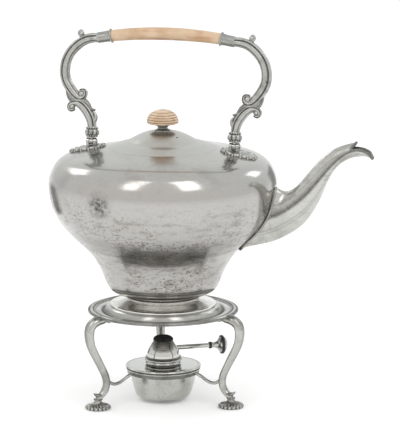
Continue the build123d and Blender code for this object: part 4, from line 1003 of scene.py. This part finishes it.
def wick_surface():
    """A burnt wick end: a turned outline, whose ragged top is shifted upwards by two sines of its azimuth
    and outwards by a third."""
    line = spline([(4.7, 55.6), (8.0, 57.9), (9.6, 58.1), (9.5, 59.1), (8.2, 60.6), (4.6, 61.9),
                   (0.01, 62.3)], 48)
    outline = np.concatenate([[(0, 8.0), (4.7, 8.0)], line, [(0, 61.4)]])
    points = turned(outline, WICK_STEPS)
    a = turns(WICK_STEPS)[:, None]
    loose = np.clip((outline[:, 1] - 57.5) / 2.0, 0, 1)
    points[..., 2] += loose * (0.22 * np.sin(7 * a + 0.6) + 0.16 * np.sin(17 * a)) * (outline[:, 0] > 0.5)
    points[..., :2] *= 1 + (0.012 * np.sin(11 * a) * loose)[..., None]
    return points


piece("burnt_wick", wick_surface(), "wick", char, ["wick"], crease=80)


def along_spindle(name, outline, finish, nodes, steps=64):
    """A turned piece whose axis is the regulator's."""
    points = on_line(turned(outline, steps), SPINDLE, ALONG)
    piece(name, points, "regulator", finish, nodes, along=True)


rod = [(0, -2.6), (1.2, -2.6), (1.2, 9.2), (2.25, 9.2), (2.25, 47.7), (1.4, 47.7), (1.4, 60.5), (0, 60.5)]
along_spindle("spindle", rounded(rod, 0.2), burner_silver, ["regulator_rod"])
washer = [(1.4, 47.7), (3.3, 47.7), (3.3, 49.9), (1.4, 49.9)]
along_spindle("black_ring", rounded(washer, 0.3), ebony, ["insulating_washer"])
neck = spline([(2.9, 49.9), (3.1, 50.7), (2.7, 51.6), (3.0, 54.0), (4.4, 56.2), (6.4, 57.7), (7.5, 59.0)], 40)
along_spindle("knob_stem", np.concatenate([[(1.4, 49.9)], neck, [(1.4, 59.0)]]), burner_silver,
              ["knob_neck"])
disc = [(1.4, 59.0), (8.6, 59.0), (9.1, 59.8), (9.1, 61.2), (8.6, 62.0), (1.4, 62.0)]
along_spindle("black_disc", rounded(disc, 0.5), ebony, ["knob_disc"], steps=72)
cap = spline([(7.6, 62.0), (7.4, 63.0), (6.4, 64.0), (4.2, 65.3), (1.8, 66.0), (0.0, 66.6)], 40)
along_spindle("knob_end", np.concatenate([[(1.4, 62.0)], cap, [(0.0, 64.0), (1.4, 64.0)]]), burner_silver,
              ["knob_cap"])

# Handle

UPPER_LINE = [
    (FERRULE_X - 1.0, FERRULE_END_Z + 0.2), (ARM_REACH - 21.0, 343.4), (ARM_REACH - 10.8, 337.0),
    (ARM_REACH - 3.6, 328.0), (ARM_REACH, 316.5), (ARM_REACH - 0.8, 306.0), (ARM_REACH - 5.4, 297.0),
    (ARM_REACH - 11.2, 290.2), (ARM_REACH - 16.4, 287.4), (ARM_REACH - 20.2, 290.0),
    (ARM_REACH - 19.6, 294.6), (ARM_REACH - 16.4, 294.8),
]
UPPER_DEPTHS = [4.4, 4.9, 5.1, 5.0, 5.0, 5.0, 5.0, 4.6, 3.3, 2.4, 2.0, 1.7]
UPPER_WIDTHS = [4.4, 4.8, 5.0, 5.0, 5.0, 5.0, 4.8, 4.4, 3.8, 3.7, 3.6, 3.4]
LOWER_LINE = [
    (HINGE_X, SOCKET_TOP - 0.6), (HINGE_X + 1.0, 266.0), (HINGE_X + 3.6, 272.0), (HINGE_X + 8.2, 278.2),
    (HINGE_X + 13.8, 282.4), (HINGE_X + 19.4, 282.6), (HINGE_X + 23.0, 279.4), (HINGE_X + 21.6, 275.9),
    (HINGE_X + 18.6, 276.4),
]
LOWER_DEPTHS = [4.2, 4.6, 4.8, 4.7, 4.2, 3.0, 2.1, 1.8, 1.6]
LOWER_WIDTHS = [4.2, 4.5, 4.7, 4.6, 4.0, 3.6, 3.4, 3.2, 3.0]
BRIDGE_LINE = [
    (ARM_REACH - 3.6, 293.4), (ARM_REACH - 7.4, 287.2), (ARM_REACH - 13.0, 285.0), (ARM_REACH - 19.4, 284.4),
    (ARM_REACH - 24.0, 281.0), (ARM_REACH - 27.0, 277.2), (ARM_REACH - 30.2, 276.6),
]
BRIDGE_DEPTHS = [2.4, 4.0, 4.2, 3.2, 2.2, 1.5, 1.0]
BRIDGE_WIDTHS = [2.8, 2.8, 2.7, 2.7, 2.6, 2.2, 1.8]
SPUR_LINE = [(HINGE_X + 0.4, 262.4), (HINGE_X - 2.6, 267.0), (HINGE_X - 3.4, 271.0), (HINGE_X - 0.6, 275.2)]
SPUR_DEPTHS = [1.4, 2.0, 1.6, 0.8]
SPUR_WIDTHS = [2.4, 2.8, 2.2, 1.0]
TWIG_LINE = [
    (FERRULE_X - 0.8, FERRULE_END_Z + 2.9), (FERRULE_X + 5.6, FERRULE_END_Z + 2.7),
    (FERRULE_X + 11.4, FERRULE_END_Z + 1.5), (FERRULE_X + 15.6, FERRULE_END_Z + 1.5),
    (FERRULE_X + 18.0, FERRULE_END_Z + 4.0), (FERRULE_X + 16.4, FERRULE_END_Z + 6.4),
    (FERRULE_X + 14.2, FERRULE_END_Z + 5.2),
]
TWIG_DEPTHS = [1.8, 1.9, 1.7, 1.5, 1.4, 1.3, 1.1]
TWIG_WIDTHS = [2.2, 2.3, 2.2, 2.1, 2.1, 2.0, 1.8]

# Bars: name, line, half-thicknesses, half-widths, groove, steps, sides, oxide, nodes that it stands for.
ARM_BARS = [
    ("large_scroll", UPPER_LINE, UPPER_DEPTHS, UPPER_WIDTHS, 0.3, 180, 96, reed_oxide(96), ["handle_arm"]),
    ("small_scroll", LOWER_LINE, LOWER_DEPTHS, LOWER_WIDTHS, 0.3, 120, 96, reed_oxide(96), []),
    ("bridge_leaf", BRIDGE_LINE, BRIDGE_DEPTHS, BRIDGE_WIDTHS, 0.2, 80, 48, 0.45 + 0.5 * reed_oxide(48), []),
    ("back_leaf", SPUR_LINE, SPUR_DEPTHS, SPUR_WIDTHS, 0.0, 40, 36, None, []),
    ("twig", TWIG_LINE, TWIG_DEPTHS, TWIG_WIDTHS, 0.2, 110, 48, reed_oxide(48, 0.8), []),
]
# Eyes of the scrolls: name, x, z, radius in the handle's plane, half-thickness across it.
SCROLL_EYES = [
    ("high", ARM_REACH - 17.0, 291.6, 3.4, 4.3),
    ("low", HINGE_X + 19.8, 279.2, 2.9, 3.8),
    ("twig", FERRULE_X + 15.4, FERRULE_END_Z + 4.2, 2.6, 2.9),
]
FLUTES, FLUTE_STEPS = 8, 96
SLEEVE_STEPS = 96


def boss(x, z, r, half):
    """A flattened ball across the handle's plane: radius r in the plane, half-thickness half across it."""
    a = turns(32)[:, None]
    b = np.linspace(0, math.pi, 17)
    across = half * np.cos(b) + 0 * a
    return np.stack([x + r * np.cos(a) * np.sin(b), across, z + r * np.sin(a) * np.sin(b)], axis=-1)


def socket_surface():
    """A fluted urn between two plain necks: the depth of its lobes follows a sine along the bulge, which
    is nought at the necks."""
    line = spline([(4.3, SOCKET_Z), (5.0, SOCKET_Z + 1.4), (SOCKET_R - 0.3, SOCKET_Z + 2.9),
                   (SOCKET_R, SOCKET_Z + 4.8), (SOCKET_R - 0.4, SOCKET_Z + 6.6), (4.9, SOCKET_Z + 8.0)], 44)
    depth = 0.7 * np.sin(np.linspace(0, math.pi, 44)) ** 0.8
    neck = np.array([(5.3, SOCKET_Z + 8.5), (5.4, SOCKET_Z + 9.2), (5.1, SOCKET_TOP - 0.4),
                     (4.6, SOCKET_TOP)])
    outline = np.concatenate([[(0, SOCKET_Z)], line, neck, [(0, SOCKET_TOP)]])
    fluted = np.concatenate([[0], depth, np.zeros(5)])
    return turned(outline, FLUTE_STEPS, lobes=FLUTES, depth=fluted) + (HINGE_X, 0, 0)


def ferrule_surface():
    """A waisted sleeve with a rolled edge at the grip. Its second result is the oxide in a chased diaper
    pattern: it lies where the product of two waves that wind round the sleeve in opposite ways is small."""
    edge = [(GRIP_END_R + 0.6, -0.1), (GRIP_END_R + 1.3, 0.6), (GRIP_END_R + 0.9, 1.5),
            (GRIP_END_R + 0.3, 1.7)]
    waist = [(GRIP_END_R + 0.2, 1.9), (GRIP_END_R - 0.1, 6.0), (5.2, FERRULE_L - 3.0),
             (5.1, FERRULE_L - 0.2)]
    outline = np.concatenate([
        [(0, 0)], rounded(edge, 0.4)[:18], spline(waist, 60), [(4.6, FERRULE_L), (0, FERRULE_L)]])
    a = turns(SLEEVE_STEPS)[:, None]
    along = outline[:, 1]
    chased = np.clip(1.6 * np.abs(np.sin(7 * a + 1.9 * along) * np.sin(7 * a - 1.9 * along)), 0, 1)
    oxide = 0.75 * (1 - chased) * ((along > 2.2) & (along < FERRULE_L - 1.2))
    return turned(outline, SLEEVE_STEPS), oxide + 0.9 * (np.abs(along - 1.8) < 0.2)


flute_rows = np.concatenate([[0.0], np.ones(44), [1.0, 0.2, 0.4, 0.0], [0.0]])
flute_oxide = np.clip(-np.cos(FLUTES * turns(FLUTE_STEPS)), 0, 1)[:, None] ** 2 * flute_rows
slope = math.atan2(GRIP_TOP - GRIP_SAG - FERRULE_END_Z, FERRULE_L)
sleeve_axis = (math.cos(slope), 0, -math.sin(slope))
sleeve_start = (GRIP_L / 2, 0, GRIP_TOP - GRIP_SAG)
sleeve, chasing = ferrule_surface()
tongue_drum = turned(rounded([(0, -2), (3.2, -2), (3.2, 2), (0, 2)]), 48)
tongue = on_line(tongue_drum, (HINGE_X, 0, HINGE_Z), (1, 0, 0))
stem_line = [(0, HINGE_Z), (2.0, HINGE_Z), (2.0, SOCKET_Z + 0.4), (0, SOCKET_Z + 0.4)]
stem = turned(rounded(stem_line), 32) + (HINGE_X, 0, 0)
for side, name in ((1, "front"), (-1, "rear")):
    flip = np.array((side, 1, 1))
    for label, line, depths, widths, groove, steps, sides, oxide, nodes in ARM_BARS:
        bar = swept(line, depths, widths, groove=groove, steps=steps, sides=sides)
        stands_for = [f"{kind}_{name}" for kind in nodes]
        piece(f"{label}_{name}", leaned(bar * flip), "handle", cast_silver, stands_for, patina_and_shade=oxide)
    for label, x, z, r, half in SCROLL_EYES:
        piece(f"scroll_eye_{label}_{name}", leaned(boss(x, z, r, half) * flip), "handle", cast_silver)
    piece(f"fluted_socket_{name}", leaned(socket_surface() * flip), "handle", cast_silver, [f"socket_{name}"],
          crease=80, patina_and_shade=flute_oxide)
    piece(f"tongue_{name}", leaned(tongue * flip), "handle", cast_silver, along=True)
    piece(f"tongue_stem_{name}", leaned(stem * flip), "handle", cast_silver, along=True)
    for label, r, z in (("top", 5.3, SOCKET_Z + 8.6), ("foot", 5.0, SOCKET_Z + 1.0)):
        bead_row(f"socket_beads_{label}_{name}", circle(r, z, 14 * 8) + (HINGE_X, 0, 0), 0.85, 14, "handle",
                 cast_silver, shaped=lambda points: leaned(points * flip))
    piece(f"sleeve_{name}", leaned(on_line(sleeve, sleeve_start, sleeve_axis) * flip), "handle", cast_silver,
          [f"ferrule_{name}"], patina_and_shade=chasing)
    bead_row(f"sleeve_beads_{name}", circle(GRIP_END_R + 0.9, 0.7, 26 * 6), 0.7, 26, "handle", cast_silver,
             sides=7, shaped=lambda points: leaned(on_line(points, sleeve_start, sleeve_axis) * flip))

grip_line = [(x * GRIP_L / 2, GRIP_TOP - GRIP_SAG * x * x) for x in np.linspace(-1.0, 1.0, 9)]
half_sizes = [GRIP_END_R, GRIP_R - 0.35, GRIP_R - 0.2, GRIP_R]
grip_sizes = half_sizes + [GRIP_R] + half_sizes[::-1]
piece("carved_grip", leaned(swept(grip_line, grip_sizes, grip_sizes, steps=120, sides=48)), "handle", wood,
      ["grip"])

# Hinge plates

PLATE_X, PLATE_A, PLATE_B, PLATE_LOBES = HINGE_X + 4.2, 16.6, 11.2, 14
PLATE_STEPS = PLATE_LOBES * 10


def plate_surface():
    """A cast shell on the shoulder: an oval with a lobed edge. Its height over the body is a dome, which
    falls with the square of the distance from the middle, plus ribs that grow towards the lobes.
    Its underside lies just in the body."""
    a = turns(PLATE_STEPS)[:, None]
    q = np.concatenate([np.linspace(0, 1, 26), [1.0, 0.0]])
    edge = 1 + 0.055 * np.cos(PLATE_LOBES * a) * q ** 2
    x = PLATE_X + PLATE_A * q * np.cos(a) * edge
    y = PLATE_B * q * np.sin(a) * edge
    dome = 2.9 - 1.5 * q ** 2 + 0.55 * np.cos(PLATE_LOBES * a) * q ** 1.5 * np.clip((1.02 - q) / 0.12, 0, 1)
    dome[:, -3], dome[:, -2:] = 1.0, -0.4
    return np.stack([x, y, body_height(x, y) + dome], axis=-1)


def plate_edge():
    """The line of the plate's beaded edge, on the body's shoulder."""
    a = turns(PLATE_STEPS)
    x, y = PLATE_X + (PLATE_A - 0.6) * np.cos(a), (PLATE_B - 0.6) * np.sin(a)
    return np.stack([x, y, body_height(x, y) + 1.0], axis=-1)


plate_rows = np.concatenate([np.linspace(0.2, 1, 26), [0.8, 0.0]])
plate_oxide = np.clip(-np.cos(PLATE_LOBES * turns(PLATE_STEPS)), 0, 1)[:, None] * plate_rows
for side, name in ((1, "front"), (-1, "rear")):
    flip = np.array((side, 1, 1))
    piece(f"cast_shell_{name}", plate_surface() * flip, "kettle", cast_silver, crease=80, patina_and_shade=plate_oxide)
    bead_row(f"shell_edge_{name}", plate_edge(), 1.85, PLATE_LOBES, "kettle", cast_silver, sides=10,
             shaped=lambda points: points * flip)

# Floor, lights, camera

FLOOR_HALF = 40.0
AIM = Vector((AXIS_X, 0, 0.22))


def matt_paint(name, grey, roughness, glow=0.0):
    """An even grey without gloss, which gives off white light at the strength of its glow."""
    paint = bpy.data.materials.new(name)
    paint.use_nodes = True
    inputs = paint.node_tree.nodes["Principled BSDF"].inputs
    inputs["Base Color"].default_value = (grey, grey, grey, 1)
    inputs["Roughness"].default_value = roughness
    inputs["Specular IOR Level"].default_value = 0.0
    inputs["Emission Color"].default_value = (1.0, 1.0, 1.0, 1)
    inputs["Emission Strength"].default_value = glow
    return paint


def flat_sheet(name, corners, paint):
    """One flat face with four corners."""
    mesh = bpy.data.meshes.new(name)
    mesh.from_pydata(corners, [], [(0, 1, 2, 3)])
    mesh.materials.append(paint)
    sheet = bpy.data.objects.new(name, mesh)
    bpy.context.scene.collection.objects.link(sheet)
    return sheet


floor_corners = [(FLOOR_HALF * x, FLOOR_HALF * y, 0) for x, y in ((-1, -1), (1, -1), (1, 1), (-1, 1))]
floor = flat_sheet("floor", floor_corners, matt_paint("pale_floor", 0.97, 0.9, glow=0.12))


def softbox(name, azimuth, elevation, distance, width, height, radiance):
    """A rectangular lamp that faces the kettle's shoulder. Its power is pi times its area and radiance."""
    lamp = bpy.data.lights.new(name, "AREA")
    lamp.shape, lamp.size, lamp.size_y = "RECTANGLE", width, height
    lamp.energy = math.pi * width * height * radiance
    holder = bpy.data.objects.new(name, lamp)
    bpy.context.scene.collection.objects.link(holder)
    a, e = math.radians(azimuth), math.radians(elevation)
    towards = Vector((math.cos(a) * math.cos(e), math.sin(a) * math.cos(e), math.sin(e)))
    holder.location = AIM + distance * towards
    holder.rotation_euler = towards.to_track_quat("Z", "Y").to_euler()
    holder.visible_camera = False


softbox("front_left_box", -113, 49.5, 1.5, 0.34, 0.95, 1.7)
softbox("front_right_box", -45, 49.5, 1.5, 0.46, 0.95, 1.7)
softbox("front_left_glow", -113, 42, 1.5, 0.34, 0.25, 0.7)
softbox("front_right_glow", -45, 42, 1.5, 0.46, 0.25, 0.7)
softbox("back_left_box", 150, 36, 1.6, 0.6, 0.45, 1.8)
softbox("back_right_box", 48, 28, 1.6, 0.4, 0.4, 1.8)


def dark_flag(name, azimuth, low, high, distance, width, grey):
    """A dark studio flag standing round the table, which shows only in the silver's reflections."""
    a = math.radians(azimuth)
    out, side = Vector((math.cos(a), math.sin(a), 0)), Vector((-math.sin(a), math.cos(a), 0))
    base = Vector((AXIS_X, 0, 0)) + distance * out
    corners = [base + side * width * share + Vector((0, 0, height))
               for share, height in ((-0.5, low), (0.5, low), (0.5, high), (-0.5, high))]
    flag = flat_sheet(name, corners, matt_paint(name, grey, 1.0))
    flag.visible_camera = flag.visible_diffuse = flag.visible_shadow = flag.visible_transmission = False


dark_flag("left_flag", 151, 0.0, 0.17, 0.5, 0.15, 0.2)
dark_flag("right_flag", 63, 0.14, 0.3, 0.5, 0.17, 0.35)

# The world is white to the camera. Mirrors see the pale room: warmer in front, cooler behind and above.
world = bpy.data.worlds.new("studio")
bpy.context.scene.world = world
world.use_nodes = True
tree = world.node_tree
tree.nodes.clear()
ray = node(tree, "LightPath")
direction = node(tree, "TexCoord").outputs["Generated"]
split = node(tree, "SeparateXYZ", [("Vector", direction)])
back_and_up = math_node(tree, "ADD", split.outputs["Y"], times(tree, split.outputs["Z"], 0.7))
behind = ramp(tree, back_and_up, -0.5, 0.75)
room = mix_colours(tree, behind, (1.0, 0.985, 0.97, 1), (0.965, 0.985, 0.975, 1))
colour = mix_colours(tree, ray.outputs["Is Glossy Ray"], (1, 1, 1, 1), room)
sky = node(tree, "Background", [("Color", colour)])
node(tree, "OutputWorld", [("Surface", sky.outputs[0])])

# The photograph's camera: 3 m away, 11 degrees above the horizon, 13 degrees to the spout's side
PITCH, YAW = math.radians(11.04), math.radians(13.0)
CAMERA_AT = (702.5, -2887.0, 754.6)
IMAGE_HEIGHT_PX, FOCAL_PX, SENSOR_MM = 438, 3200, 36.0
camera_data = bpy.data.cameras.new("camera")
camera_data.sensor_width = SENSOR_MM
camera_data.lens = FOCAL_PX / IMAGE_HEIGHT_PX * SENSOR_MM
camera = bpy.data.objects.new("camera", camera_data)
bpy.context.scene.collection.objects.link(camera)
camera.location = place(CAMERA_AT)
looking = Vector((-math.sin(YAW) * math.cos(PITCH), math.cos(YAW) * math.cos(PITCH), -math.sin(PITCH)))
camera.rotation_euler = looking.to_track_quat("-Z", "Y").to_euler()
camera_data.clip_start, camera_data.clip_end = 0.1, 200.0
bpy.context.scene.camera = camera
bpy.context.scene.view_settings.view_transform = "Standard"
